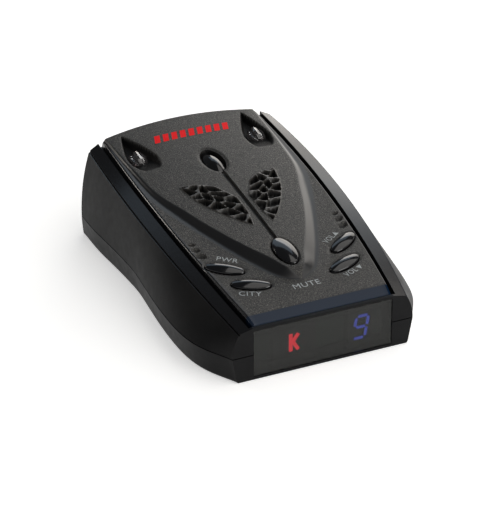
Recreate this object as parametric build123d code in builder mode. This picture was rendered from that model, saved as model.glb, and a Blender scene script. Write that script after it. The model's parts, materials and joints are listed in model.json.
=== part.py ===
from build123d import *

import os
from math import radians, tan

# A windscreen and dashboard radar detector, in millimetres.
# +X is to the right as the driver faces the display, +Y runs away from the driver, +Z is up.
# The origin is the middle of the footprint, on the surface that the housing stands on.
# "Depth" always means the distance behind the display face, which faces -Y.

# ---------------------------------------------------------------- driving dimensions
LENGTH = 110.0            # display face to the middle of the bowed rear face
HALF_WIDTH = 37.8         # widest half-width, at the seam between the two shells
REAR_SIDE_DEPTH = 105.2   # where the bowed rear face would meet the widest sides
REAR_CORNER = 9.5         # plan radius of the rear corners
SEAM_Z = 8.4              # height of the seam
SEAM_GAP = 0.3            # open line between the shells
FOOT_INSET = 1.6          # how far the underside is inside the seam
FOOT_ROUND = 1.4          # rounding along the underside, cut off flat where it rests
FOOT_CUT = 0.3
SIDE_BULGE = 0.5          # how far the side walls bow outwards above the seam
WALL = 1.8                # housing wall
TONGUE_THICK = 1.0        # locating tongue of the lower shell
TONGUE_DEEP = 1.4         # how far it runs below the seam, joined to the wall
TONGUE_HIGH = 1.2         # how far it rises above the seam
END_WALL = 2.0            # display-end and rear walls
CLEAR = 0.1               # fit clearance between fixed pieces
FAR = 60.0                # longer than anything is high

# seam half-width at stations along the housing: narrow display, full shoulders, slight waist
SEAM_PLAN = {
    0: 29.5, 8: 33.9, 16: 36.7, 24: 37.6, 32: 37.65, 40: 37.3, 48: 36.7, 56: 36.0,
    64: 35.7, 72: 36.0, 80: 36.5, 88: 37.1, 96: 37.3, 104: 37.3, 112: 37.3,
}

# values at the display face, at half length and at the rear, joined by a parabola
RAIL_X = (27.0, 32.5, 31.2)       # outer edge of each top rail
RAIL_Z = (16.5, 24.4, 27.9)
DECK_Z = (17.2, 25.0, 29.4)       # inner edge of each rail
PANEL_X = (22.8, 27.4, 27.2)      # foot of the raised panel's edge
PANEL_Z = (18.4, 25.6, 30.0)      # top of the raised panel's edge
STEP = 0.5                        # fine step where the rail meets the side wall
GROOVE = 1.0                      # gap between panel and rail
DECK_MARGIN = 1.0                 # how far the rail's slope runs on inside the recess
SEAT_DROP = 1.5                   # the panel's seat below the rail
LEDGE_THICK = 1.5
LEDGE_WIDE = 1.2                  # how far the seat reaches under the panel

SHIELD_SINK = 0.4                 # how far the shield's block starts below the panel's surface
SHIELD_RISE = 2.0                 # raised shield on the panel, at its middle
SHIELD_CROWN = 1.4                # its fall towards a half-width of 26
SHIELD_PLAN = {                   # depth: (half-width of its top, half-width of its foot)
    15.6: (0.4, 0.9), 17.5: (1.6, 4.2), 20.5: (3.4, 7.2), 25.5: (5.6, 10.0), 31: (8.6, 12.7),
    40: (13.0, 16.6), 50: (17.0, 20.6), 60: (20.3, 24.0), 66: (22.4, 25.6), 73: (24.0, 26.6),
    84: (24.9, 26.8), 95: (25.5, 26.8), 112: (25.9, 26.7),
}

WINDOW_HALF = 22.6
WINDOW_LOW = 0.9
WINDOW_HIGH = 16.4
WINDOW_SETBACK = 0.3
WINDOW_FLANGE = 1.2               # the window's wider back plate behind the wall
FLANGE_THICK = 0.9
LIP_THICK = 0.85
BEVEL_DEPTH = 4.8                 # where the panel's front bevel starts
PANEL_FRONT = 1.05
BEVEL_LOW_Z = 17.85

LENS_HALF = 21.0                  # dark lens in the rear wall
LENS_LOW = 11.5
LENS_HIGH = 23.5
LENS_CORNER = 2.5

BUTTON_GAP = 0.25                 # side gap round each cap
BUTTON_PROUD = 0.7
# name: (x, depth, length, width, turn in degrees)
BUTTONS = {
    "power_button": (-19.6, 27.6, 12.4, 5.2, -33.0),
    "city_button": (-15.4, 17.9, 12.4, 5.2, -21.5),
    "volume_up_button": (19.6, 27.6, 12.4, 5.2, 33.0),
    "volume_down_button": (15.4, 17.9, 12.4, 5.2, 21.5),
    "mute_button": (0.0, 27.1, 13.4, 7.0, 90.0),
}
CAP_ROUND = 0.75
STEM_RADIUS = 1.4
LUG_GAP = 0.2                     # lugs that hold each cap under the panel
LUG_THICK = 0.9
LUG_INSET = 2.0
LUG_REACH = 0.8
CAP_LIFT = 1.25                   # underside of each cap above the panel's seat

REAR_OVAL = (80.6, 13.6, 7.2)     # depth, length, width of the spine's rear dome opening
SPINE_WIDE = 1.3
SPINE_DEEP = 0.9

OVAL_DROP = 2.4                   # depth of the rear dome's seat

# scoops for the two jewel lenses: leaf-shaped, pointed at the rear; x from the jewel, depth
SCOOP = ((0.6, 106.3), (4.6, 95.0), (3.6, 87.0), (-1.2, 82.6), (-4.2, 88.0), (-3.2, 97.0))
SCOOP_DEEP = 2.0
JEWEL_X = 20.4
JEWEL_DEPTH = 91.5
JEWEL_HIGH = 3.0
JEWEL_FOOT = ((-3.2, -0.5), (-1.6, -3.4), (1.6, -3.4), (3.2, -0.5), (1.2, 4.2), (-1.2, 4.2))
JEWEL_CROWN = ((-1.4, -0.4), (-0.8, -1.6), (0.8, -1.6), (1.4, -0.4), (0.4, 1.8), (-0.4, 1.8))
PIPE_RADIUS = 1.5                 # light pipe from each alert lamp to its jewel
LAMP_SIZE = (3.2, 2.8)
LAMP_HIGH = 1.9

# wing-shaped speaker vents, one each side of the spine: an outline less its ribs
WING = (
    (3.2, 42.2), (6.3, 45.8), (9.8, 51.0), (13.4, 58.0), (15.2, 63.5), (16.2, 70.2),
    (10.8, 69.2), (5.8, 66.0), (1.9, 58.0), (1.8, 50.0),
)
WING_RIBS = (
    ((3.0, 41.0), (7.2, 55.0), (14.5, 71.0)),
    ((1.0, 49.5), (4.5, 58.5), (9.0, 71.0)),
    ((1.0, 47.0), (5.0, 47.5), (9.5, 46.0)),
    ((0.5, 52.5), (5.5, 52.0), (11.5, 50.0)),
    ((0.5, 58.5), (6.0, 56.5), (13.5, 55.0)),
    ((1.5, 63.0), (8.0, 60.5), (16.0, 59.5)),
    ((4.5, 68.0), (9.5, 64.5), (17.0, 64.5)),
)
RIB_WIDE = 0.7

# teardrop dimples that grow towards the display: x, depth, half-width
DIMPLES = ((24.0, 42.2, 0.55), (23.9, 39.2, 0.75), (23.6, 35.8, 0.95))
DIMPLE_DEEP = 0.35
DIMPLE_TURN = -35

SPEAKER_DEPTH = 56.0
SPEAKER_RADIUS = 13.5
SPEAKER_TOP = 21.4
SPEAKER_RIM = 2.2                 # width of the frame's rim and of the gasket on it
SPEAKER_RIM_THICK = 1.0
BASKET_DEEP = 2.6
MAGNET_RADIUS = 7.0
MAGNET_THICK = 2.6
SPEAKER_POCKET = (17.5, 40.0, 72.0)   # half-width, front and rear of the panel's pocket
VENT_SKIN = 0.3                   # pocket's roof below the panel's edge line

BOARD_HALF = 24.0
BOARD_Z = 5.2
BOARD_THICK = 1.6
BOARD_FRONT = 9.5
BOARD_REAR = 104.0
BOARD_NOTCH = (22.4, 92.6)        # width and start of the notch round the bracket socket
BOARD_TOP = BOARD_Z + BOARD_THICK

KEYPAD_Z = 10.4
KEYPAD_THICK = 1.2
KEYPAD_FRONT = 12.0
KEYPAD_REAR = 38.0
KEYPAD_TOP = KEYPAD_Z + KEYPAD_THICK
SWITCH_HIGH = 3.6
SWITCH_WIDE = 6.0
PLUNGER_RADIUS = 1.0
PLUNGER_HOLE = 1.06
PLUNGER_PROUD = 0.9
PLUNGER_LOW = 1.2                 # bottom of each plunger above the keypad board
SPACER_X = 20.5
SPACER_DEPTHS = (15.0, 35.0)

CASE_BOSSES = ((-27.5, 24.0), (27.5, 24.0), (-28.0, 95.0), (28.0, 95.0))
BOARD_POSTS = ((-20.5, 42.5), (20.5, 42.5), (-20.5, 69.5), (20.5, 69.5))

JACK_DEPTH = 78.0
JACK_Z = 12.4
JACK_BORE = 1.8
JACK_BORE_LONG = 12.0
JACK_FACE_X = 35.4

BRACKET_SLOT = (18.4, 4.6, 9.0)   # width, height, depth of the windscreen bracket's slot
BRACKET_LOW = 1.5                 # the slot's floor
BRACKET_WALL = 1.6
BRACKET_BLOCK = (93.0, 106.0)     # front and rear of the solid socket round the slot

SCREW_HEAD_HOLE = 2.4
SCREW_HEAD_DEEP = 2.6
SCREW_HOLE = 1.3
BOSS_RADIUS = 2.8
POST_RADIUS = 2.4
PILOT_RADIUS = 0.8

LABEL_DEPTH = 60.0
LABEL_SIZE = (40.0, 25.0, 1.8)    # width, length, corner radius

# display: lit figures on two modules in front of an upright board
DISPLAY_BOARD_DEPTH = 6.5
DISPLAY_BOARD_THICK = 1.2
DISPLAY_BOARD_SIZE = (44.0, 12.4, 8.0)   # width, height, middle height
DISPLAY_PIN_DEPTH = 11.2
MODULE_DEPTH = 3.6
MODULE_Z = 8.3
MODULE_HIGH = 11.4
GLOW_DEPTH = 3.35
DIGIT_X = 13.9
DIGIT_Z = 7.1
DIGIT_HALF = 2.0
DIGIT_TALL = 3.7
DIGIT_STROKE = 0.8
DIGIT_CUT = 0.55                  # how far each segment stops short of its corners
LEAN = tan(radians(10))
LETTER_X = -7.9
LETTER_Z = 7.3
LETTER_STROKE = 1.1
LETTER_BARS = (
    ((-1.2, -2.9), (-1.2, 2.9)), ((-0.9, -0.2), (1.25, 2.7)), ((-0.6, 0.4), (1.25, -2.7)),
)
# segments of the figure nine, between corners given as (side, level)
NINE = (
    ((-1, 1), (1, 1)), ((1, 1), (1, 0)), ((1, 0), (1, -1)), ((-1, -1), (1, -1)),
    ((-1, 1), (-1, 0)), ((-1, 0), (1, 0)),
)

# microwave horn that faces the road
HORN_THROAT = 74.0
HORN_MOUTH = 105.0
HORN_WIDE = 34.0
HORN_HIGH = 13.0
HORN_WALL = 1.2
GUIDE_WIDE = 13.0                 # waveguide behind the throat
GUIDE_HIGH = 8.4
GUIDE_LONG = 7.0
GUIDE_END = 1.4

SHIELD_CAN = (28.0, 24.0, 4.2, 0.6)      # width, length, height, wall
SHIELD_CAN_DEPTH = 53.0
CAPACITORS = ((-20.5, 50.0), (-20.5, 58.0), (20.5, 52.0), (-19.0, 78.0))
MEMORY_CHIPS = ((6.0, 19.0), (6.0, 28.0))


# ---------------------------------------------------------------- shared geometry
def at(depth):
    """Y of a point this far behind the display face."""
    return depth - LENGTH / 2


def across(depth):
    """Upright plane across the housing; its own axes are X and Z."""
    return Plane.XZ.offset(LENGTH / 2 - depth)


def bow(depth, values):
    """Parabola through the values at the display face, half length and the rear."""
    front, middle, rear = values
    t = depth / LENGTH
    curve = 2 * (front + rear) - 4 * middle
    return front + (rear - front - curve) * t + curve * t * t


def seat_z(depth):
    return bow(depth, DECK_Z) - SEAT_DROP


def shield_rise(x):
    return SHIELD_RISE - SHIELD_CROWN * (x / 26.0) ** 2


def top_z(x, depth, on_shield=False):
    """Height of the panel's upper surface."""
    return bow(depth, PANEL_Z) + (shield_rise(x) if on_shield else 0.0)


def slope(depth):
    """Rise of the panel per millimetre of depth."""
    return (bow(depth + 1, PANEL_Z) - bow(depth - 1, PANEL_Z)) / 2


def plan_outline(inset, corner):
    """Plan of the housing's ends: flat display end, bowed rear, rounded rear corners."""
    side = HALF_WIDTH - inset
    rear_side = at(REAR_SIDE_DEPTH) - inset
    rear_middle = at(LENGTH) - inset
    with BuildSketch(Plane.XY) as outline:
        with BuildLine():
            Polyline((-side, rear_side), (-side, at(inset)), (side, at(inset)), (side, rear_side))
            ThreePointArc((side, rear_side), (0, rear_middle), (-side, rear_side))
        make_face()
        fillet(outline.vertices().group_by(Axis.Y)[-1], corner)
    return outline.sketch


def hollow(skin):
    """The room inside the housing, with the walls thickened by skin."""
    with BuildPart() as room:
        for depth, seam in SEAM_PLAN.items():
            foot_x = seam - FOOT_INSET - WALL - skin
            seam_x = seam - WALL - skin
            roof_x = bow(depth, RAIL_X) - WALL - 0.6 - skin
            roof_z = seat_z(depth) - LEDGE_THICK - skin
            with BuildSketch(across(depth)):
                with BuildLine():
                    Polyline(
                        (-foot_x, WALL - 0.2 + skin), (foot_x, WALL - 0.2 + skin), (seam_x, SEAM_Z),
                        (roof_x, roof_z), (-roof_x, roof_z), (-seam_x, SEAM_Z), close=True,
                    )
                make_face()
        loft()
        add(plan_outline(END_WALL + skin, REAR_CORNER - END_WALL))
        extrude(amount=FAR, mode=Mode.INTERSECT)
    return room.part


def slab(half_width, low, high, front, rear):
    """A strip across the housing whose half-width and faces follow the top's arch."""
    middle = (front + rear) / 2
    with BuildPart() as strip:
        for depth in (front, (front + middle) / 2, middle, (middle + rear) / 2, rear):
            with BuildSketch(across(depth)):
                x = half_width(depth)
                with BuildLine():
                    Polyline(
                        (-x, low(depth)), (x, low(depth)), (x, high(depth)), (-x, high(depth)),
                        close=True,
                    )
                make_face()
        loft()
    return strip.part


def oval(length, width, turn, grow=0.0):
    """An ellipse in the current sketch, widened all round by grow."""
    Ellipse(length / 2 + grow, width / 2 + grow, rotation=turn)


def bar(start, end, width):
    """A straight lit bar between two points of the current sketch."""
    with BuildLine() as middle_line:
        Line(start, end)
    trace(middle_line.line, line_width=width)


def digit_point(side, level):
    """Corner of the leaning seven-segment figure: side -1 or 1, level -1, 0 or 1."""
    z = level * DIGIT_TALL
    return (DIGIT_X + side * DIGIT_HALF + z * LEAN, DIGIT_Z + z)


def shortened(start, end, cut):
    """The same straight run with both of its ends cut short."""
    (x0, z0), (x1, z1) = start, end
    run = ((x1 - x0) ** 2 + (z1 - z0) ** 2) ** 0.5
    ux = (x1 - x0) / run
    uz = (z1 - z0) / run
    return (x0 + ux * cut, z0 + uz * cut), (x1 - ux * cut, z1 - uz * cut)


# ---------------------------------------------------------------- housing shells
with BuildPart() as housing:
    for depth, seam in SEAM_PLAN.items():
        rail = bow(depth, RAIL_X)
        rail_z = bow(depth, RAIL_Z)
        deck = bow(depth, PANEL_X) + GROOVE - DECK_MARGIN
        deck_fall = (bow(depth, DECK_Z) - rail_z) / (rail - deck - DECK_MARGIN)
        deck_z = bow(depth, DECK_Z) + deck_fall * DECK_MARGIN
        foot = seam - FOOT_INSET
        with BuildSketch(across(depth)) as section:
            with BuildLine():
                Polyline(
                    (rail + STEP, rail_z - STEP), (rail, rail_z - STEP), (rail, rail_z),
                    (deck, deck_z), (-deck, deck_z), (-rail, rail_z),
                    (-rail, rail_z - STEP), (-rail - STEP, rail_z - STEP),
                )
                mid_x = (seam + rail + STEP) / 2 + SIDE_BULGE
                mid_z = (SEAM_Z + rail_z - STEP) / 2 + 0.15
                ThreePointArc((-rail - STEP, rail_z - STEP), (-mid_x, mid_z), (-seam, SEAM_Z))
                Polyline(
                    (-seam, SEAM_Z), (-foot, -FOOT_CUT), (foot, -FOOT_CUT), (seam, SEAM_Z)
                )
                ThreePointArc((seam, SEAM_Z), (mid_x, mid_z), (rail + STEP, rail_z - STEP))
            make_face()
            fillet(section.vertices().group_by(Axis.Y)[0], FOOT_ROUND)
    loft()
    add(plan_outline(0, REAR_CORNER))
    extrude(amount=FAR, mode=Mode.INTERSECT)

interior = hollow(0)
tongue_outer = hollow(CLEAR)
tongue_inner = hollow(TONGUE_THICK)
tongue_root = hollow(-WALL / 3)

recess = slab(
    lambda d: bow(d, PANEL_X) + GROOVE, seat_z, lambda d: FAR, LIP_THICK, LENGTH + 4
)
deck_opening = slab(
    lambda d: bow(d, PANEL_X) - LEDGE_WIDE, lambda d: seat_z(d) - 6, lambda d: FAR, 3.4, 103.5
)

with BuildPart() as window_opening:
    with BuildSketch(across(-1)):
        with Locations((0, (WINDOW_LOW + WINDOW_HIGH) / 2)):
            Rectangle(2 * WINDOW_HALF, WINDOW_HIGH - WINDOW_LOW)
    extrude(amount=-(END_WALL + 1.2))

with BuildPart() as rear_opening:
    with BuildSketch(across(100)):
        with Locations((0, (LENS_LOW + LENS_HIGH) / 2)):
            RectangleRounded(2 * LENS_HALF, LENS_HIGH - LENS_LOW, LENS_CORNER)
    extrude(amount=-20)

with BuildPart() as top_shell:
    add(housing.part)
    add(interior, mode=Mode.SUBTRACT)
    split(bisect_by=Plane.XY.offset(SEAM_Z + SEAM_GAP / 2), keep=Keep.TOP)
    for x, depth in CASE_BOSSES:
        with BuildSketch(Plane.XY.offset(SEAM_Z + SEAM_GAP)):
            with Locations((x, at(depth))):
                Circle(BOSS_RADIUS)
        extrude(until=Until.NEXT)
    add(recess, mode=Mode.SUBTRACT)
    add(deck_opening, mode=Mode.SUBTRACT)
    add(window_opening.part, mode=Mode.SUBTRACT)
    add(rear_opening.part, mode=Mode.SUBTRACT)
    for x, depth in CASE_BOSSES:
        with BuildSketch(Plane.XY.offset(SEAM_Z)):
            with Locations((x, at(depth))):
                Circle(1.0)
        extrude(amount=7, mode=Mode.SUBTRACT)
    with BuildSketch(Plane.YZ.offset(28)):
        with Locations((at(JACK_DEPTH), JACK_Z)):
            Circle(3.0 + CLEAR)
    extrude(amount=15, mode=Mode.SUBTRACT)
top_shell.part.label = "top_shell"

# locating tongue that rises inside the upper shell, broken at the display and at the jack
with BuildPart() as tongue:
    add(tongue_root)
    split(bisect_by=Plane.XY.offset(SEAM_Z - SEAM_GAP / 2), keep=Keep.BOTTOM)
    add(tongue_outer)
    add(tongue_inner, mode=Mode.SUBTRACT)
    split(bisect_by=Plane.XY.offset(SEAM_Z - TONGUE_DEEP), keep=Keep.TOP)
    split(bisect_by=Plane.XY.offset(SEAM_Z + TONGUE_HIGH), keep=Keep.BOTTOM)
    with BuildSketch(Plane.XY):
        with Locations((0, at(0))):
            Rectangle(2 * WINDOW_HALF + 4, 8)
        with Locations((33, at(JACK_DEPTH))):
            Rectangle(12, 10)
    extrude(amount=FAR, mode=Mode.SUBTRACT)

slot_wide, slot_high, slot_deep = BRACKET_SLOT
label_wide, label_long, label_corner = LABEL_SIZE
with BuildPart() as bottom_shell:
    add(housing.part)
    add(interior, mode=Mode.SUBTRACT)
    split(bisect_by=Plane.XY.offset(SEAM_Z - SEAM_GAP / 2), keep=Keep.BOTTOM)
    add(tongue.part)
    for x, depth in CASE_BOSSES:
        with BuildSketch(Plane.XY.offset(1.0)):
            with Locations((x, at(depth))):
                Circle(BOSS_RADIUS)
        extrude(amount=SEAM_Z + 0.2 - 1.0)
    for x, depth in BOARD_POSTS:
        with BuildSketch(Plane.XY.offset(1.0)):
            with Locations((x, at(depth))):
                Circle(POST_RADIUS)
        extrude(amount=BOARD_Z - 1.0)
    # socket for the bracket's tongue
    with BuildSketch(Plane.XY.offset(1.0)):
        with Locations((0, at(sum(BRACKET_BLOCK) / 2))):
            Rectangle(slot_wide + 2 * BRACKET_WALL, BRACKET_BLOCK[1] - BRACKET_BLOCK[0])
    extrude(amount=BOARD_TOP - 1.0)
    add(window_opening.part, mode=Mode.SUBTRACT)
    with BuildSketch(across(LENGTH + 1)):
        with Locations((0, BRACKET_LOW + slot_high / 2)):
            Rectangle(slot_wide, slot_high)
    extrude(amount=slot_deep + 1, mode=Mode.SUBTRACT)
    for x, depth in CASE_BOSSES:
        with BuildSketch(Plane.XY):
            with Locations((x, at(depth))):
                Circle(SCREW_HEAD_HOLE)
        extrude(amount=SCREW_HEAD_DEEP, mode=Mode.SUBTRACT)
        with BuildSketch(Plane.XY):
            with Locations((x, at(depth))):
                Circle(SCREW_HOLE)
        extrude(amount=12, mode=Mode.SUBTRACT)
    for x, depth in BOARD_POSTS:
        with BuildSketch(Plane.XY.offset(2.0)):
            with Locations((x, at(depth))):
                Circle(PILOT_RADIUS)
        extrude(amount=5, mode=Mode.SUBTRACT)
    # shallow recess for the rating label
    with BuildSketch(Plane.XY):
        with Locations((0, at(LABEL_DEPTH))):
            RectangleRounded(label_wide + 4 * CLEAR, label_long + 4 * CLEAR, label_corner + 2 * CLEAR)
    extrude(amount=0.3, mode=Mode.SUBTRACT)
bottom_shell.part.label = "bottom_shell"


# ---------------------------------------------------------------- top panel
with BuildPart() as shield:
    for depth, (top_half, foot_half) in SHIELD_PLAN.items():
        base = bow(depth, PANEL_Z)
        crest = SHIELD_RISE if depth > 18 else 0.15 + (depth - 15.6) * 0.45
        edge = min(shield_rise(top_half) if depth > 16 else 0.1, crest - 0.02)
        with BuildSketch(across(depth)):
            with BuildLine():
                ThreePointArc((-top_half, base + edge), (0, base + crest), (top_half, base + edge))
                Polyline(
                    (top_half, base + edge), (foot_half, base - SHIELD_SINK),
                    (-foot_half, base - SHIELD_SINK), (-top_half, base + edge),
                )
            make_face()
    loft(ruled=True)

panel_slab = slab(
    lambda d: bow(d, PANEL_X) - 0.15, lambda d: seat_z(d) + 0.02, lambda d: bow(d, PANEL_Z),
    PANEL_FRONT, LENGTH + 4,
)
pocket_half, pocket_front, pocket_rear = SPEAKER_POCKET
speaker_pocket = slab(
    lambda d: pocket_half, lambda d: seat_z(d) - 5, lambda d: bow(d, PANEL_Z) - VENT_SKIN,
    pocket_front, pocket_rear,
)

oval_depth, oval_long, oval_wide = REAR_OVAL
oval_floor = top_z(0, oval_depth, True) - OVAL_DROP
groove_cut = slab(
    lambda d: SPINE_WIDE / 2, lambda d: top_z(0, d, True) - SPINE_DEEP,
    lambda d: top_z(0, d, True) + 3, BUTTONS["mute_button"][1] + 5, oval_depth - 5,
)

jewel_z = top_z(JEWEL_X, JEWEL_DEPTH, True) - SCOOP_DEEP

# vent openings cut straight down
with BuildPart() as wing_cuts:
    with BuildSketch(Plane.XY.offset(15)):
        for side in (-1, 1):
            with BuildLine():
                Polyline(*[(side * x, at(depth)) for x, depth in WING], close=True)
            make_face()
            for rib in WING_RIBS:
                with BuildLine() as path:
                    ThreePointArc(*[(side * x, at(depth)) for x, depth in rib])
                trace(path.line, line_width=RIB_WIDE, mode=Mode.SUBTRACT)
    extrude(amount=FAR)

with BuildPart() as top_panel:
    add(panel_slab)
    add(shield.part)
    add(plan_outline(0, REAR_CORNER))
    extrude(amount=FAR, mode=Mode.INTERSECT)
    # bevel that runs down to the display
    with BuildSketch(Plane.YZ.offset(-HALF_WIDTH)):
        with BuildLine():
            Polyline(
                (at(PANEL_FRONT), BEVEL_LOW_Z), (at(BEVEL_DEPTH), bow(BEVEL_DEPTH, PANEL_Z)),
                (at(BEVEL_DEPTH), 24), (at(0), 24), (at(0), BEVEL_LOW_Z), close=True,
            )
        make_face()
    extrude(amount=2 * HALF_WIDTH, mode=Mode.SUBTRACT)
    # room for the top of the display window
    with BuildSketch(across(0)):
        with Locations((0, WINDOW_HIGH - 4.9)):
            Rectangle(2 * WINDOW_HALF + 4, 10)
    extrude(amount=-3.3, mode=Mode.SUBTRACT)
    add(speaker_pocket, mode=Mode.SUBTRACT)
    # button openings
    for x, depth, length, width, turn in BUTTONS.values():
        with BuildSketch(Plane.XY.offset(5)):
            with Locations((x, at(depth))):
                oval(length, width, turn, BUTTON_GAP)
        extrude(amount=FAR, mode=Mode.SUBTRACT)
    # rear dome's seat and the groove that joins it to the mute button
    with BuildSketch(Plane.XY.offset(oval_floor)):
        with Locations((0, at(oval_depth))):
            oval(oval_long, oval_wide, 90)
    extrude(amount=10, mode=Mode.SUBTRACT)
    add(groove_cut, mode=Mode.SUBTRACT)
    # jewel scoops, with a hole for each light pipe
    for side in (-1, 1):
        floor = Plane(
            origin=(side * JEWEL_X, at(JEWEL_DEPTH), jewel_z),
            x_dir=(1, 0, 0),
            z_dir=(0, -slope(JEWEL_DEPTH), 1),
        )
        with BuildSketch(floor):
            points = [(side * dx, depth - JEWEL_DEPTH) for dx, depth in SCOOP]
            with BuildLine():
                Spline(*points, points[0])
            make_face()
        extrude(amount=6, mode=Mode.SUBTRACT)
        with BuildSketch(Plane.XY.offset(15)):
            with Locations((side * JEWEL_X, at(JEWEL_DEPTH))):
                Circle(PIPE_RADIUS + CLEAR)
        extrude(amount=FAR, mode=Mode.SUBTRACT)
        for x, depth, radius in DIMPLES:
            with BuildSketch(Plane.XY.offset(top_z(x, depth) - DIMPLE_DEEP)):
                with Locations((side * x, at(depth))):
                    Ellipse(radius, radius * 1.5, rotation=side * DIMPLE_TURN)
            extrude(amount=5, mode=Mode.SUBTRACT)
    add(wing_cuts.part, mode=Mode.SUBTRACT)
top_panel.part.label = "top_panel"

# ---------------------------------------------------------------- buttons
made = [top_shell, bottom_shell, top_panel]
SWITCH_TOP = KEYPAD_TOP + SWITCH_HIGH
PLUNGER_TOP = SWITCH_TOP + PLUNGER_PROUD
for name, (x, depth, length, width, turn) in BUTTONS.items():
    surface = top_z(x, depth, name == "mute_button")
    under = seat_z(depth) - LUG_GAP
    tilt = (0, -slope(depth), 1)
    cap_plane = Plane(origin=(x, at(depth), surface + BUTTON_PROUD), z_dir=tilt)
    lug_plane = Plane(origin=(x, at(depth), under), x_dir=(1, 0, 0), z_dir=tilt)
    with BuildPart() as button:
        with BuildSketch(Plane.XY.offset(seat_z(depth) + CAP_LIFT)):
            with Locations((x, at(depth))):
                oval(length, width, turn)
        extrude(amount=12)
        split(bisect_by=cap_plane, keep=Keep.BOTTOM)
        fillet(button.faces().sort_by(Axis.Z)[-1].edges(), CAP_ROUND)
        with BuildSketch(Plane.XY.offset(under - LUG_THICK)):
            with Locations((x, at(depth))):
                Ellipse(length / 2 - LUG_INSET, width / 2, rotation=turn)
        extrude(amount=LUG_THICK + LUG_GAP + CAP_LIFT + 0.1)
        # side lugs that hold the cap under the panel
        with BuildSketch(lug_plane):
            Ellipse(length / 2 - LUG_INSET, width / 2 + LUG_REACH, rotation=turn)
        extrude(amount=-LUG_THICK)
        with BuildSketch(Plane.XY.offset(PLUNGER_TOP)):
            with Locations((x, at(depth))):
                Circle(STEM_RADIUS)
        extrude(until=Until.NEXT)
    button.part.label = name
    made.append(button)

    plunger_name = name.replace("button", "plunger")
    with BuildPart() as plunger:
        with BuildSketch(Plane.XY.offset(KEYPAD_TOP + PLUNGER_LOW)):
            with Locations((x, at(depth))):
                Circle(PLUNGER_RADIUS)
        extrude(amount=PLUNGER_TOP - KEYPAD_TOP - PLUNGER_LOW)
    plunger.part.label = plunger_name
    made.append(plunger)

with BuildPart() as tact_switches:
    for x, depth, *_ in BUTTONS.values():
        with BuildSketch(Plane.XY.offset(KEYPAD_TOP)):
            with Locations((x, at(depth))):
                RectangleRounded(SWITCH_WIDE, SWITCH_WIDE, 0.4)
        extrude(amount=SWITCH_HIGH)
        with BuildSketch(Plane.XY.offset(KEYPAD_TOP + 0.6)):
            with Locations((x, at(depth))):
                Circle(PLUNGER_HOLE)
        extrude(amount=SWITCH_HIGH, mode=Mode.SUBTRACT)
tact_switches.part.label = "tact_switches"
made.append(tact_switches)

# ---------------------------------------------------------------- spine trim and jewel lenses
with BuildPart() as spine_trim:
    with BuildSketch(Plane.XY.offset(oval_floor)):
        with Locations((0, at(oval_depth))):
            oval(oval_long, oval_wide, 90, -0.6)
    extrude(amount=6)
    split(
        bisect_by=Plane(
            origin=(0, at(oval_depth), top_z(0, oval_depth, True) + 0.4),
            z_dir=(0, -slope(oval_depth), 1),
        ),
        keep=Keep.BOTTOM,
    )
    fillet(spine_trim.faces().sort_by(Axis.Z)[-1].edges(), 1.2)
spine_trim.part.label = "spine_dome"
made.append(spine_trim)

for side, name in ((-1, "left_jewel_lens"), (1, "right_jewel_lens")):
    floor = Plane(
        origin=(side * JEWEL_X, at(JEWEL_DEPTH), jewel_z + 0.02),
        x_dir=(1, 0, 0),
        z_dir=(0, -slope(JEWEL_DEPTH), 1),
    )
    with BuildPart() as jewel:
        with BuildSketch(floor):
            with BuildLine():
                Polyline(*JEWEL_FOOT, close=True)
            make_face()
        with BuildSketch(floor.offset(JEWEL_HIGH)):
            with BuildLine():
                Polyline(*JEWEL_CROWN, close=True)
            make_face()
        loft(ruled=True)
    jewel.part.label = name
    made.append(jewel)

# ---------------------------------------------------------------- display
with BuildPart() as display_window:
    with BuildSketch(across(WINDOW_SETBACK)):
        with Locations((0, (WINDOW_LOW + WINDOW_HIGH) / 2)):
            Rectangle(2 * (WINDOW_HALF - CLEAR), WINDOW_HIGH - WINDOW_LOW - 2 * CLEAR)
    extrude(amount=-(END_WALL + CLEAR - WINDOW_SETBACK))
    with BuildSketch(across(END_WALL + CLEAR)):
        with Locations((0, 8.5)):
            Rectangle(2 * (WINDOW_HALF + WINDOW_FLANGE), 10)
    extrude(amount=-FLANGE_THICK)
display_window.part.label = "display_window"
made.append(display_window)

with BuildPart() as display_board:
    with BuildSketch(across(DISPLAY_BOARD_DEPTH)):
        board_wide, board_high, board_middle = DISPLAY_BOARD_SIZE
        with Locations((0, board_middle)):
            Rectangle(board_wide, board_high)
    extrude(amount=-DISPLAY_BOARD_THICK)
display_board.part.label = "display_board"
made.append(display_board)

with BuildPart() as digit_module:
    with BuildSketch(across(MODULE_DEPTH)):
        with Locations((DIGIT_X, MODULE_Z)):
            Rectangle(8.0, MODULE_HIGH)
    extrude(amount=-(DISPLAY_BOARD_DEPTH - MODULE_DEPTH))
digit_module.part.label = "digit_module"
made.append(digit_module)

with BuildPart() as band_module:
    with BuildSketch(across(MODULE_DEPTH)):
        with Locations((LETTER_X, MODULE_Z)):
            Rectangle(14.0, MODULE_HIGH)
    extrude(amount=-(DISPLAY_BOARD_DEPTH - MODULE_DEPTH))
band_module.part.label = "band_module"
made.append(band_module)

with BuildPart() as digit_segments:
    with BuildSketch(across(GLOW_DEPTH)):
        for start, end in NINE:
            low, high = shortened(digit_point(*start), digit_point(*end), DIGIT_CUT)
            bar(low, high, DIGIT_STROKE)
    extrude(amount=-(MODULE_DEPTH - GLOW_DEPTH))
digit_segments.part.label = "digit_segments"
made.append(digit_segments)

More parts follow.
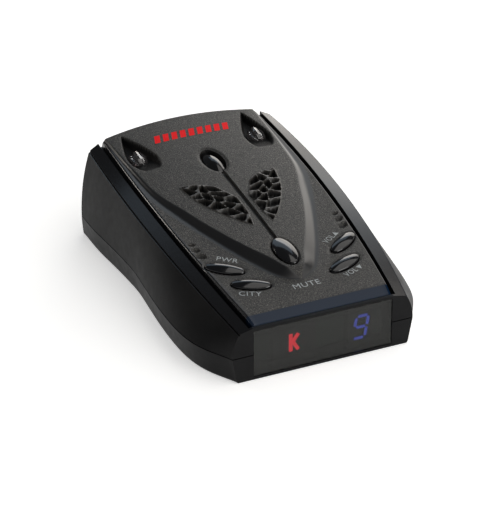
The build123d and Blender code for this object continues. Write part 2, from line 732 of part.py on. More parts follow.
with BuildPart() as band_letter:
    with BuildSketch(across(GLOW_DEPTH)):
        for (x0, z0), (x1, z1) in LETTER_BARS:
            bar((LETTER_X + x0, LETTER_Z + z0), (LETTER_X + x1, LETTER_Z + z1), LETTER_STROKE)
    extrude(amount=-(MODULE_DEPTH - GLOW_DEPTH))
band_letter.part.label = "band_letter"
made.append(band_letter)

# ---------------------------------------------------------------- circuit boards
with BuildPart() as main_board:
    with BuildSketch(Plane.XY.offset(BOARD_Z)):
        with Locations((0, (at(BOARD_FRONT) + at(BOARD_REAR)) / 2)):
            RectangleRounded(2 * BOARD_HALF, BOARD_REAR - BOARD_FRONT, 1.5)
        for x, depth in BOARD_POSTS:
            with Locations((x, at(depth))):
                Circle(1.2, mode=Mode.SUBTRACT)
        notch_wide, notch_front = BOARD_NOTCH
        with Locations((0, at(notch_front + 10))):
            Rectangle(notch_wide, 20, mode=Mode.SUBTRACT)
    extrude(amount=BOARD_THICK)
main_board.part.label = "main_board"
made.append(main_board)

with BuildPart() as keypad_board:
    with BuildSketch(Plane.XY.offset(KEYPAD_Z)):
        with Locations((0, at((KEYPAD_FRONT + KEYPAD_REAR) / 2))):
            RectangleRounded(48, KEYPAD_REAR - KEYPAD_FRONT, 1.5)
    extrude(amount=KEYPAD_THICK)
keypad_board.part.label = "keypad_board"
made.append(keypad_board)

with BuildPart() as keypad_spacers:
    for x in (-SPACER_X, SPACER_X):
        for depth in SPACER_DEPTHS:
            with BuildSketch(Plane.XY.offset(BOARD_TOP)):
                with Locations((x, at(depth))):
                    RegularPolygon(2.2, 6)
            extrude(amount=KEYPAD_Z - BOARD_TOP)
keypad_spacers.part.label = "keypad_spacers"
made.append(keypad_spacers)

with BuildPart() as board_header:
    with BuildSketch(Plane.XY.offset(BOARD_TOP)):
        with Locations((0, at(35.5))):
            Rectangle(15.2, 2.5)
    extrude(amount=KEYPAD_Z - BOARD_TOP)
board_header.part.label = "board_header"
made.append(board_header)

header_front = DISPLAY_BOARD_DEPTH + DISPLAY_BOARD_THICK
with BuildPart() as display_header:
    with BuildSketch(Plane.XY.offset(BOARD_TOP)):
        with Locations((0, at((header_front + DISPLAY_PIN_DEPTH) / 2))):
            Rectangle(28, DISPLAY_PIN_DEPTH - header_front)
    extrude(amount=2.5)
display_header.part.label = "display_header"
made.append(display_header)

with BuildPart() as processor_chip:
    with BuildSketch(Plane.XY.offset(BOARD_TOP)):
        with Locations((-8, at(24))):
            Rectangle(10, 10)
    extrude(amount=1.4)
processor_chip.part.label = "processor_chip"
made.append(processor_chip)

with BuildPart() as memory_chips:
    for x, depth in MEMORY_CHIPS:
        with BuildSketch(Plane.XY.offset(BOARD_TOP)):
            with Locations((x, at(depth))):
                Rectangle(5, 4)
        extrude(amount=1.2)
memory_chips.part.label = "memory_chips"
made.append(memory_chips)

with BuildPart() as crystal:
    with BuildSketch(Plane.XY.offset(BOARD_TOP)):
        with Locations((-8, at(16))):
            SlotOverall(7, 3)
    extrude(amount=2.4)
crystal.part.label = "crystal"
made.append(crystal)

with BuildPart() as capacitors:
    for x, depth in CAPACITORS:
        with BuildSketch(Plane.XY.offset(BOARD_TOP)):
            with Locations((x, at(depth))):
                Circle(2.5)
        extrude(amount=7.5)
capacitors.part.label = "capacitors"
made.append(capacitors)

# ---------------------------------------------------------------- microwave receiver
HORN_FLOOR = BOARD_TOP
guide_middle = HORN_FLOOR + GUIDE_HIGH / 2
horn_middle = HORN_FLOOR + HORN_HIGH / 2
with BuildPart() as horn_antenna:
    with BuildSketch(across(HORN_THROAT)):
        with Locations((0, guide_middle)):
            Rectangle(GUIDE_WIDE, GUIDE_HIGH)
    with BuildSketch(across(HORN_MOUTH)):
        with Locations((0, horn_middle)):
            Rectangle(HORN_WIDE, HORN_HIGH)
    loft(ruled=True)
    with BuildSketch(across(HORN_THROAT - GUIDE_LONG)):
        with Locations((0, guide_middle)):
            Rectangle(GUIDE_WIDE, GUIDE_HIGH)
    extrude(amount=-GUIDE_LONG)
    with BuildSketch(across(HORN_THROAT)):
        with Locations((0, guide_middle)):
            Rectangle(GUIDE_WIDE - 2 * HORN_WALL, GUIDE_HIGH - 2 * HORN_WALL)
    with BuildSketch(across(HORN_MOUTH + 0.01)):
        with Locations((0, horn_middle)):
            Rectangle(HORN_WIDE - 2 * HORN_WALL, HORN_HIGH - 2 * HORN_WALL)
    loft(ruled=True, mode=Mode.SUBTRACT)
    with BuildSketch(across(HORN_THROAT - GUIDE_LONG + GUIDE_END)):
        with Locations((0, guide_middle)):
            Rectangle(GUIDE_WIDE - 2 * HORN_WALL, GUIDE_HIGH - 2 * HORN_WALL)
    extrude(amount=GUIDE_END - GUIDE_LONG - 0.1, mode=Mode.SUBTRACT)
horn_antenna.part.label = "horn_antenna"
made.append(horn_antenna)

can_wide, can_long, can_high, can_wall = SHIELD_CAN
with BuildPart() as shield_can:
    with BuildSketch(Plane.XY.offset(BOARD_TOP)):
        with Locations((0, at(SHIELD_CAN_DEPTH))):
            RectangleRounded(can_wide, can_long, 1)
    extrude(amount=can_high)
    fillet(shield_can.faces().sort_by(Axis.Z)[-1].edges(), 0.5)
    with BuildSketch(Plane.XY.offset(BOARD_TOP)):
        with Locations((0, at(SHIELD_CAN_DEPTH))):
            Rectangle(can_wide - 2 * can_wall, can_long - 2 * can_wall)
    extrude(amount=can_high - can_wall, mode=Mode.SUBTRACT)
shield_can.part.label = "shield_can"
made.append(shield_can)

with BuildPart() as mixer_chip:
    with BuildSketch(Plane.XY.offset(BOARD_TOP)):
        with Locations((0, at(55))):
            Rectangle(6, 6)
    extrude(amount=1.2)
mixer_chip.part.label = "mixer_chip"
made.append(mixer_chip)

# ---------------------------------------------------------------- laser sensor and rear lens
rear_skin_outer = plan_outline(0, REAR_CORNER)
rear_skin_inner = plan_outline(END_WALL, REAR_CORNER - END_WALL)
with BuildPart() as rear_lens:
    with BuildSketch(across(100)):
        with Locations((0, (LENS_LOW + LENS_HIGH) / 2)):
            RectangleRounded(
                2 * (LENS_HALF - CLEAR), LENS_HIGH - LENS_LOW - 2 * CLEAR, LENS_CORNER - CLEAR
            )
    extrude(amount=-20)
    add(rear_skin_outer)
    extrude(amount=FAR, mode=Mode.INTERSECT)
    add(rear_skin_inner)
    extrude(amount=FAR, mode=Mode.SUBTRACT)
rear_lens.part.label = "rear_lens"
made.append(rear_lens)

LASER_Z = HORN_FLOOR + HORN_HIGH - 0.7
with BuildPart() as laser_sensor:
    with BuildSketch(across(HORN_MOUTH - 6)):
        with Locations((0, LASER_Z + 2.5)):
            Rectangle(12, 5)
    extrude(amount=-1.2)
    with BuildSketch(across(HORN_MOUTH - 4.8)):
        with Locations((0, LASER_Z + 2.7)):
            Rectangle(5, 4.4)
    extrude(amount=-1.8)
    with BuildSketch(across(HORN_MOUTH - 3)):
        with Locations((0, LASER_Z + 2.7)):
            Circle(1.8)
    extrude(amount=-1.0)
laser_sensor.part.label = "laser_sensor"
made.append(laser_sensor)

# ---------------------------------------------------------------- speaker
with BuildPart() as speaker_frame:
    with BuildSketch(Plane.XY.offset(SPEAKER_TOP - SPEAKER_RIM_THICK)):
        with Locations((0, at(SPEAKER_DEPTH))):
            Circle(SPEAKER_RADIUS)
            Circle(SPEAKER_RADIUS - SPEAKER_RIM, mode=Mode.SUBTRACT)
    extrude(amount=SPEAKER_RIM_THICK)
    with BuildSketch(Plane.XY.offset(SPEAKER_TOP - SPEAKER_RIM_THICK)):
        with Locations((0, at(SPEAKER_DEPTH))):
            Circle(SPEAKER_RADIUS - 1.2)
    extrude(amount=-BASKET_DEEP, taper=40)
    with BuildSketch(Plane.XY.offset(SPEAKER_TOP)):
        with Locations((0, at(SPEAKER_DEPTH))):
            Circle(SPEAKER_RADIUS - SPEAKER_RIM - 0.2)
    extrude(amount=-3.0, taper=38, mode=Mode.SUBTRACT)
speaker_frame.part.label = "speaker_frame"
made.append(speaker_frame)

with BuildPart() as speaker_magnet:
    with BuildSketch(Plane.XY.offset(SPEAKER_TOP - SPEAKER_RIM_THICK - BASKET_DEEP)):
        with Locations((0, at(SPEAKER_DEPTH))):
            Circle(MAGNET_RADIUS)
    extrude(amount=-MAGNET_THICK)
speaker_magnet.part.label = "speaker_magnet"
made.append(speaker_magnet)

with BuildPart() as speaker_cone:
    with BuildSketch(Plane.XY.offset(SPEAKER_TOP - 0.6)):
        with Locations((0, at(SPEAKER_DEPTH))):
            Circle(SPEAKER_RADIUS - 3.0)
    extrude(amount=0.4)
speaker_cone.part.label = "speaker_cone"
made.append(speaker_cone)

with BuildPart() as speaker_gasket:
    with BuildSketch(Plane.XY.offset(SPEAKER_TOP)):
        with Locations((0, at(SPEAKER_DEPTH))):
            Circle(SPEAKER_RADIUS)
            Circle(SPEAKER_RADIUS - SPEAKER_RIM, mode=Mode.SUBTRACT)
    extrude(amount=10)
    add(
        slab(
            lambda d: 20, lambda d: bow(d, PANEL_Z) - VENT_SKIN - 0.05, lambda d: FAR,
            pocket_front - 2, pocket_rear + 2,
        ),
        mode=Mode.SUBTRACT,
    )
speaker_gasket.part.label = "speaker_gasket"
made.append(speaker_gasket)

# ---------------------------------------------------------------- power jack
with BuildPart() as power_jack:
    with BuildSketch(Plane.YZ.offset(19.5)):
        with Locations((at(JACK_DEPTH), (BOARD_TOP + 16.0) / 2)):
            Rectangle(8.4, 16.0 - BOARD_TOP)
    extrude(amount=12.8)
    with BuildSketch(Plane.YZ.offset(32.3)):
        with Locations((at(JACK_DEPTH), JACK_Z)):
            Circle(3.0)
    extrude(amount=JACK_FACE_X - 32.3)
    with BuildSketch(Plane.YZ.offset(JACK_FACE_X)):
        with Locations((at(JACK_DEPTH), JACK_Z)):
            Circle(JACK_BORE)
    extrude(amount=-JACK_BORE_LONG, mode=Mode.SUBTRACT)
power_jack.part.label = "power_jack"
made.append(power_jack)

# ---------------------------------------------------------------- alert lamps and light pipes
with BuildPart() as alert_lamps:
    for side in (-1, 1):
        with BuildSketch(Plane.XY.offset(BOARD_TOP)):
            with Locations((side * JEWEL_X, at(JEWEL_DEPTH))):
                Rectangle(*LAMP_SIZE)
        extrude(amount=LAMP_HIGH)
alert_lamps.part.label = "alert_lamps"
made.append(alert_lamps)

with BuildPart() as light_pipes:
    for side in (-1, 1):
        with BuildSketch(Plane.XY.offset(BOARD_TOP + LAMP_HIGH + CLEAR)):
            with Locations((side * JEWEL_X, at(JEWEL_DEPTH))):
                Circle(PIPE_RADIUS)
        extrude(amount=jewel_z - BOARD_TOP - LAMP_HIGH - 0.5)
light_pipes.part.label = "light_pipes"
made.append(light_pipes)

# ---------------------------------------------------------------- fasteners and label
with BuildPart() as case_screws:
    for x, depth in CASE_BOSSES:
        with BuildSketch(Plane.XY.offset(0.7)):
            with Locations((x, at(depth))):
                Circle(2.0)
        extrude(amount=1.9)
        with BuildSketch(Plane.XY.offset(2.6)):
            with Locations((x, at(depth))):
                Circle(1.0)
        extrude(amount=11)
        with BuildSketch(Plane.XY.offset(0.7)):
            with Locations((x, at(depth))):
                Rectangle(2.6, 0.6)
                Rectangle(0.6, 2.6)
        extrude(amount=0.9, mode=Mode.SUBTRACT)
case_screws.part.label = "case_screws"
made.append(case_screws)

with BuildPart() as board_screws:
    for x, depth in BOARD_POSTS:
        with BuildSketch(Plane.XY.offset(BOARD_TOP)):
            with Locations((x, at(depth))):
                Circle(1.8)
        extrude(amount=1.3)
        with BuildSketch(Plane.XY.offset(BOARD_TOP)):
            with Locations((x, at(depth))):
                Circle(PILOT_RADIUS)
        extrude(amount=-4.4)
board_screws.part.label = "board_screws"
made.append(board_screws)

with BuildPart() as rating_label:
    with BuildSketch(Plane.XY.offset(0.1)):
        with Locations((0, at(LABEL_DEPTH))):
            RectangleRounded(label_wide, label_long, label_corner)
    extrude(amount=0.2)
rating_label.part.label = "rating_label"
made.append(rating_label)

# ---------------------------------------------------------------- files
os.makedirs("parts", exist_ok=True)
for piece in made:
    export_step(piece.part, f"parts/{piece.part.label}.step")
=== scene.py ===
import json
import math

import bmesh
import bpy
import numpy as np
from mathutils import Matrix, Vector


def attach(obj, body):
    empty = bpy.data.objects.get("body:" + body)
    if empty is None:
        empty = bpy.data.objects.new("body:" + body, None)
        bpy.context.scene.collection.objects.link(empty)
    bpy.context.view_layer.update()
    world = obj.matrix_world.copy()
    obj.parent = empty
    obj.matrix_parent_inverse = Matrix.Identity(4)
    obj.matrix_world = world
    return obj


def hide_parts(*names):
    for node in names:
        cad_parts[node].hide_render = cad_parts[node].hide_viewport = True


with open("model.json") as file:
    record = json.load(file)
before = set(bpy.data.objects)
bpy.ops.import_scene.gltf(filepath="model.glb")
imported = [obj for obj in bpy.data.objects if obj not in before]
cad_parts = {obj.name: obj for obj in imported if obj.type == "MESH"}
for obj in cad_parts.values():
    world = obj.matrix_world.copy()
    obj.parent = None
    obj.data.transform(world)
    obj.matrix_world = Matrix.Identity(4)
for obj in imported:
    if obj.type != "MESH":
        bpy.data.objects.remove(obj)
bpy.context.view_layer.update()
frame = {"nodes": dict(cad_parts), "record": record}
NODES = frame["nodes"]
MM = 0.001

# The housing's own measures, in millimetres. "Depth" is the distance behind the display face.
LENGTH = 110.0
# (front, middle, rear) of the panel's half-width and height, and of the deck's height below it
PANEL_X = (22.8, 27.4, 27.2)
PANEL_Z = (18.4, 25.6, 30.0)
DECK_Z = (17.2, 25.0, 29.4)
SEAT_DROP = 1.5
PANEL_MARGIN = 0.35
EDGE_ROUND = 0.85
REAR_ROUND = 0.6
FRONT_ROUND = 0.25
# the raised shield: half-widths of its top and of its foot at each depth
SHIELD_RISE = 2.0
SHIELD_CROWN = 1.4
SHIELD_HALF = 26.0
SHIELD_TIP = 15.2
SHIELD_DEPTHS = (15.6, 17.5, 20.5, 25.5, 31, 40, 50, 60, 66, 73, 84, 95, 112)
SHIELD_TOPS = (0.4, 1.6, 3.4, 5.6, 8.6, 13.0, 17.0, 20.3, 22.4, 24.0, 24.9, 25.5, 25.9)
SHIELD_FEET = (0.9, 4.2, 7.2, 10.0, 12.7, 16.6, 20.6, 24.0, 25.6, 26.6, 26.8, 26.8, 26.7)
FLANK_WIDE = 0.80
FLANK_TAPER = 0.38
REAR_RADIUS = 151.2
BEVEL_DEPTH = 4.8
PANEL_FRONT = 1.05
BEVEL_LOW_Z = 17.85
GROOVE = (33.3, 75.0)
GROOVE_DEEP = 0.9
GROOVE_HALF = 0.75
BUTTON_GAP = 0.25
# body: (x, depth, length, width, turn in degrees)
BUTTONS = {
    "power": (-19.6, 27.6, 12.1, 4.5, -33.0),
    "city": (-15.4, 17.9, 12.1, 4.5, -21.5),
    "volume_up": (19.6, 27.6, 12.1, 4.5, 33.0),
    "volume_down": (15.4, 17.9, 12.1, 4.5, 21.5),
    "mute": (0.0, 27.1, 13.2, 6.6, 90.0),
}
REAR_OVAL = (0.0, 80.6, 13.6, 7.2, 90.0)
JEWEL_X = 20.4
JEWEL_DEPTH = 91.5
SCOOP_ENDS = (81.8, 106.6)
SCOOP_HALF = 4.7
SCOOP_DEEP = 2.4
SCOOP_BLUNT = 0.36
# the vents: outline of the right-hand wing as (x, depth), and the cells' turn, depth and ribs
WING = np.array([
    (3.2, 42.2), (6.3, 45.8), (9.8, 51.0), (13.4, 58.0), (15.2, 63.5), (16.2, 70.2),
    (10.8, 69.2), (5.8, 66.0), (1.9, 58.0), (1.8, 50.0),
])
WING_BOX = ((1.2, 17.2), (41.4, 71.4))
CELLS_PER_ROW = (1, 1, 2, 2, 3, 3, 3, 2)
CELL_TURN = 52
CELL_DEEP = 1.9
RIB_HALF = 0.36
RIB_PROUD = 0.22
# dimples: (x, depth, radius)
DIMPLES = ((24.0, 42.2, 0.65), (23.9, 39.2, 0.85), (23.6, 35.8, 1.05))
DIMPLE_DEEP = 0.95
DIMPLE_TURN = 35


def bow(depth, values):
    """A parabola through the values at the front, the middle and the rear of the housing."""
    front, middle, rear = values
    t = depth / LENGTH
    curve = 2 * (front + rear) - 4 * middle
    return front + (rear - front - curve) * t + curve * t * t


def slope(depth):
    """How fast the panel rises towards the rear."""
    return (bow(depth + 1, PANEL_Z) - bow(depth - 1, PANEL_Z)) / 2


def rear_limit(x):
    """The depth of the bowed rear face."""
    return LENGTH - (REAR_RADIUS - np.sqrt(REAR_RADIUS**2 - np.asarray(x, float) ** 2))


def smooth(depths, values):
    """A monotone cubic through the stations, as a function of depth."""
    xs = np.array(depths, float)
    ys = np.array(values, float)
    h = np.diff(xs)
    d = np.diff(ys) / h
    m = np.zeros(len(xs))
    m[1:-1] = np.where(d[1:] * d[:-1] > 0, 2 * d[1:] * d[:-1] / (d[1:] + d[:-1] + 1e-12), 0)
    m[0], m[-1] = d[0], d[-1]

    def value(x):
        x = np.clip(np.asarray(x, float), xs[0], xs[-1])
        i = np.clip(np.searchsorted(xs, x) - 1, 0, len(h) - 1)
        t = (x - xs[i]) / h[i]
        return (
            (2 * t**3 - 3 * t**2 + 1) * ys[i] + (t**3 - 2 * t**2 + t) * h[i] * m[i]
            + (3 * t**2 - 2 * t**3) * ys[i + 1] + (t**3 - t**2) * h[i] * m[i + 1]
        )

    return value


shield_top = smooth(SHIELD_DEPTHS, SHIELD_TOPS)
shield_foot = smooth(SHIELD_DEPTHS, SHIELD_FEET)


def step(t):
    """An eased step from 0 to 1."""
    t = np.clip(t, 0, 1)
    return t * t * (3 - 2 * t)


def soft_min(a, b, k):
    """The lower of two heights, blended over about k millimetres where they cross."""
    h = np.clip(0.5 + 0.5 * (b - a) / k, 0, 1)
    return b + (a - b) * h - k * h * (1 - h)


def turned(x, y, degrees_):
    """The point x, y after a turn about the origin."""
    a = math.radians(degrees_)
    return x * math.cos(a) - y * math.sin(a), x * math.sin(a) + y * math.cos(a)


def round_off(inset, radius):
    """How far a quarter-round edge lies below a sharp one, at an inset from the edge."""
    inside = np.clip(inset, 0, radius)
    return radius - np.sqrt(np.maximum(radius * radius - (radius - inside) ** 2, 0))


def oval_distance(x, depth, spec):
    """Distance outside an oval opening (negative inside), roughly in millimetres."""
    cx, cd, length, width, turn = spec
    u, v = turned(x - cx, depth - cd, -turn)
    rx, ry = length / 2, width / 2
    k0 = np.hypot(u / rx, v / ry)
    k1 = np.hypot(u / rx**2, v / ry**2) + 1e-9
    return k0 * (k0 - 1) / k1


def shield_height(x, depth):
    """Height of the raised shield: a crowned top and two flanks that fade into the panel."""
    ax = np.abs(x)
    top = shield_top(depth)
    foot = shield_foot(depth)
    crest = SHIELD_RISE - SHIELD_CROWN * (ax / SHIELD_HALF) ** 2
    edge = SHIELD_RISE - SHIELD_CROWN * (top / SHIELD_HALF) ** 2
    narrow = FLANK_WIDE - FLANK_TAPER * np.clip((depth - 28.0) / 45.0, 0, 1)
    width = np.maximum((foot - top) * narrow, 0.3)
    flank = edge * (top + width - ax) / width
    h = soft_min(crest, flank, 0.28)
    h = -soft_min(-h, 0 * h, 0.25)
    return h * step((depth - SHIELD_TIP) / 4.6)


def scoop_depth(x, depth):
    """Leaf-shaped pit round each jewel: pointed at the rear, fading out towards the display."""
    ax = np.abs(x)
    front, rear = SCOOP_ENDS
    t = (depth - front) / (rear - front)
    centre = JEWEL_X - 1.2 + 1.8 * t
    beyond = t - SCOOP_BLUNT
    blunt = np.sqrt(np.clip(1 - (np.minimum(beyond, 0) / 0.40) ** 2, 0, 1))
    pointed = np.clip(1 - np.clip(beyond / (1 - SCOOP_BLUNT), 0, 1) ** 1.4, 0, 1)
    half = SCOOP_HALF * np.minimum(blunt, pointed)
    inside = np.clip((half - np.abs(ax - centre)) / 1.1, 0, 1)
    return SCOOP_DEEP * step(inside) * step(t / 0.45)


rng = np.random.default_rng(11)


def polygon_distance(x, y, polygon):
    """Signed distance to a polygon, negative inside."""
    best = np.full(x.shape, 1e9)
    inside = np.zeros(x.shape, bool)
    n = len(polygon)
    for i in range(n):
        x0, y0 = polygon[i]
        x1, y1 = polygon[(i + 1) % n]
        ex, ey = x1 - x0, y1 - y0
        t = np.clip(((x - x0) * ex + (y - y0) * ey) / (ex * ex + ey * ey), 0, 1)
        best = np.minimum(best, np.hypot(x - x0 - t * ex, y - y0 - t * ey))
        crosses = (y0 > y) != (y1 > y)
        at_x = x0 + (y - y0) * ex / (ey if abs(ey) > 1e-9 else 1e-9)
        inside ^= crosses & (x < at_x)
    return np.where(inside, -best, best)


def wing_seeds():
    """Irregular seeds of the vent cells, along the wing and across it."""
    seeds = []
    for row, count in enumerate(CELLS_PER_ROW):
        depth = 44.6 + row * 3.5
        low = np.interp(depth, (42, 50, 58, 66, 70.5), (2.4, 2.2, 2.4, 6.2, 12.5))
        high = np.interp(depth, (42, 46, 51, 58, 63.5, 70.5), (3.6, 6.2, 9.6, 13.2, 15.0, 16.0))
        for i in range(count):
            f = (i + 0.5) / count
            x = low + (high - low) * f + rng.uniform(-1.0, 1.0)
            y = depth + 2.4 * (f - 0.5) + rng.uniform(-1.2, 1.2)
            seeds.append((x, y))
    return np.array(seeds)


SEEDS = wing_seeds()


def vent_cells(x, depth):
    """Two masks: 1 inside a vent cell and 0 on the ribs; 1 anywhere inside the wing."""
    cells = np.zeros(x.shape)
    wing = np.zeros(x.shape)
    ax = np.abs(x)
    (x_low, x_high), (depth_low, depth_high) = WING_BOX
    near = (ax > x_low) & (ax < x_high) & (depth > depth_low) & (depth < depth_high)
    px, py = ax[near], depth[near]
    du = px[:, None] - SEEDS[:, 0]
    dv = py[:, None] - SEEDS[:, 1]
    along, over = turned(du, dv, -CELL_TURN)
    r = np.sort(np.hypot(along * 0.72, over * 1.3), axis=1)
    rib = r[:, 1] - r[:, 0]
    border = -polygon_distance(px, py, WING)
    cells[near] = np.minimum(step((rib - RIB_HALF) / 0.4), step((border - 0.25) / 0.4))
    wing[near] = step((border + 0.1) / 0.4)
    return cells, wing


def vent_depth(x, depth):
    """The cells are deep; the ribs stand a little proud of the panel."""
    cells, wing = vent_cells(x, depth)
    return CELL_DEEP * cells - RIB_PROUD * wing * (1 - cells)


def dimple_depth(x, depth):
    """Three slanted oval dimples on each side."""
    ax = np.abs(x)
    out = np.zeros(x.shape)
    for cx, cd, radius in DIMPLES:
        u, v = turned(ax - cx, depth - cd, -DIMPLE_TURN)
        k = np.hypot(u / (radius * 1.5), v / radius)
        out = np.maximum(out, DIMPLE_DEEP * step((1.2 - k) / 0.5))
    return out


def panel_top(x, depth, details=True):
    """Height of the panel's upper surface in millimetres."""
    z = bow(depth, PANEL_Z) + shield_height(x, depth)
    rise = bow(BEVEL_DEPTH, PANEL_Z) - BEVEL_LOW_Z
    bevel = BEVEL_LOW_Z + (depth - PANEL_FRONT) * rise / (BEVEL_DEPTH - PANEL_FRONT)
    z = soft_min(z, bevel, 0.12)
    if not details:
        return z
    # spine groove
    ends = step((depth - GROOVE[0]) / 0.5) * step((GROOVE[1] - depth) / 0.5)
    z = z - GROOVE_DEEP * step((GROOVE_HALF - np.abs(x)) / 0.25) * ends
    z = z - scoop_depth(x, depth) - vent_depth(x, depth) - dimple_depth(x, depth)
    # soft lips round the openings
    for spec in list(BUTTONS.values()) + [REAR_OVAL]:
        gap = oval_distance(x, depth, spec) - BUTTON_GAP
        z = z - 0.35 * (1 - step(gap / 0.55)) * (gap > -1.5)
    return z


def add_object(name, data):
    obj = bpy.data.objects.new(name, data)
    bpy.context.scene.collection.objects.link(obj)
    return obj


def mesh_object(name, verts, faces, smooth_shade=True):
    mesh = bpy.data.meshes.new(name)
    mesh.from_pydata([tuple(v) for v in verts], [], faces)
    mesh.validate()
    mesh.update()
    if smooth_shade:
        mesh.shade_smooth()
    return add_object(name, mesh)


def turn_faces_outward(obj):
    bm = bmesh.new()
    bm.from_mesh(obj.data)
    bmesh.ops.recalc_face_normals(bm, faces=bm.faces)
    bm.to_mesh(obj.data)
    bm.free()


def apply_modifiers(obj):
    bpy.context.view_layer.update()
    dg = bpy.context.evaluated_depsgraph_get()
    mesh = bpy.data.meshes.new_from_object(obj.evaluated_get(dg), depsgraph=dg)
    obj.modifiers.clear()
    obj.data = mesh
    return obj


def sharp_by_angle(obj, degrees_):
    for face in obj.data.polygons:
        face.use_smooth = True
    obj.data.set_sharp_from_angle(angle=math.radians(degrees_))


def oval_ring(spec, half_length, half_width, count):
    """Points (x, depth) round an ellipse that lies where an oval does, turned as it is."""
    cx, cd, _, _, turn = spec
    points = []
    for i in range(count):
        t = 2 * math.pi * i / count
        x, y = turned(half_length * math.cos(t), half_width * math.sin(t), turn)
        points.append((cx + x, cd + y))
    return points


def oval_prism(bm, spec, grow, low, high, segments=72):
    """An upright oval solid that stands from one height to another."""
    rings = []
    for z in (low, high):
        outline = oval_ring(spec, spec[2] / 2 + grow, spec[3] / 2 + grow, segments)
        ring = [bm.verts.new((x * MM, (y - LENGTH / 2) * MM, z * MM)) for x, y in outline]
        rings.append(ring)
    bm.faces.new(rings[0][::-1])
    bm.faces.new(rings[1])
    for i in range(segments):
        j = (i + 1) % segments
        bm.faces.new((rings[0][i], rings[0][j], rings[1][j], rings[1][i]))


# ------------------------------------------------------------------ panel
def panel_edge(depth):
    return bow(depth, PANEL_X) - PANEL_MARGIN


def even_steps(start, end, count):
    """Evenly spaced values after the start, up to and with the end."""
    return [start + (end - start) * i / count for i in range(1, count + 1)]


def arc_steps(start, end, count, first=1):
    """Values that close up towards the end as points round a quarter circle do."""
    span = end - start
    return [start + span * math.sin(math.pi / 2 * i / count) for i in range(first, count + 1)]


def panel_columns(depth):
    """Half of a cross-section's x positions, from the middle to the panel's rounded edge."""
    edge = panel_edge(depth)
    foot = min(shield_foot(depth), edge - EDGE_ROUND - 0.4)
    top = min(shield_top(depth), foot - 0.2)
    near = min(1.0, top / 3.0)
    groove = [g * near for g in (0.0, 0.25, 0.45, 0.6, 0.75, 0.95, 1.2)]
    crown = even_steps(groove[-1], top, 68)
    flank = even_steps(top, foot, 10)
    outer = even_steps(foot, edge - EDGE_ROUND, 16)
    rounding = arc_steps(edge - EDGE_ROUND, edge, 6)
    return np.array(groove + crown + flank + outer + rounding)


def panel_rows():
    """Depths of the panel's cross-sections along its middle, closest over the vents."""
    rows = [PANEL_FRONT + d for d in (0, 0.04, 0.12, FRONT_ROUND)]
    d = PANEL_FRONT + 0.5
    while d < LENGTH - REAR_ROUND - 0.1:
        rows.append(d)
        d += 0.2 if 41.5 < d < 71.5 else 0.36
    return rows + arc_steps(LENGTH - REAR_ROUND, LENGTH, 5, 0)


def panel_grid():
    """Points (x, depth, z) of the upper surface, row by row, each row bowed as the rear face is."""
    xs, depths = [], []
    for row in panel_rows():
        half = panel_columns(row)
        x = np.concatenate([-half[:0:-1], half])
        share = (row - PANEL_FRONT) / (LENGTH - PANEL_FRONT)
        xs.append(x)
        depths.append(PANEL_FRONT + share * (rear_limit(x) - PANEL_FRONT))
    x, depth = np.array(xs), np.array(depths)
    z = panel_top(x, depth)
    edge = np.max(np.abs(x), axis=1, keepdims=True)
    z = z - round_off(edge - np.abs(x), EDGE_ROUND)
    z = z - round_off(rear_limit(x) - depth, REAR_ROUND)
    z = z - round_off(depth - PANEL_FRONT, FRONT_ROUND)
    return x, depth, z


def cut_openings(obj):
    """Cuts the button openings through the panel and sinks the rear oval into it."""
    cut = bmesh.new()
    for spec in BUTTONS.values():
        oval_prism(cut, spec, BUTTON_GAP, 5, 40)
    floor_z = bow(REAR_OVAL[1], PANEL_Z) + SHIELD_RISE - 2.4
    oval_prism(cut, REAR_OVAL, 0.0, floor_z, 45)
    bmesh.ops.recalc_face_normals(cut, faces=cut.faces)
    cutter_mesh = bpy.data.meshes.new("cutter")
    cut.to_mesh(cutter_mesh)
    cut.free()
    cutter = add_object("cutter", cutter_mesh)
    cutting = obj.modifiers.new("openings", "BOOLEAN")
    cutting.operation = "DIFFERENCE"
    cutting.solver = "EXACT"
    cutting.object = cutter
    apply_modifiers(obj)
    bpy.data.objects.remove(cutter)


def build_panel():
    x, depth, z = panel_grid()
    # each cross-section is closed by a foot on the deck at either side
    ends = [0, -1]
    floor = bow(depth, DECK_Z) - SEAT_DROP + 0.05
    floor = np.maximum(floor, np.where(depth < 3.4, 16.6, 0))
    foot_x = x[:, ends] + 0.2 * np.sign(x[:, ends])
    feet = np.stack([foot_x, depth[:, ends], floor[:, ends]], 2)
    surface = np.stack([x, depth, z], 2)
    sections = np.concatenate([feet[:, :1], surface, feet[:, 1:]], 1)
    count, width = sections.shape[:2]
    verts = sections.reshape(-1, 3)
    verts[:, 1] -= LENGTH / 2
    faces = []
    for i in range(count - 1):
        row = i * width
        for j in range(width - 1):
            a = row + j
            faces.append((a, a + 1, a + width + 1, a + width))
        last = row + width - 1
        faces.append((last, row, row + width, last + width))
    faces.append(tuple(range(width - 1, -1, -1)))
    faces.append(tuple(range((count - 1) * width, count * width)))
    obj = mesh_object("control_panel", verts * MM, faces)
    turn_faces_outward(obj)
    cut_openings(obj)
    mark_panel(obj)
    sharp_by_angle(obj, 50)
    return obj


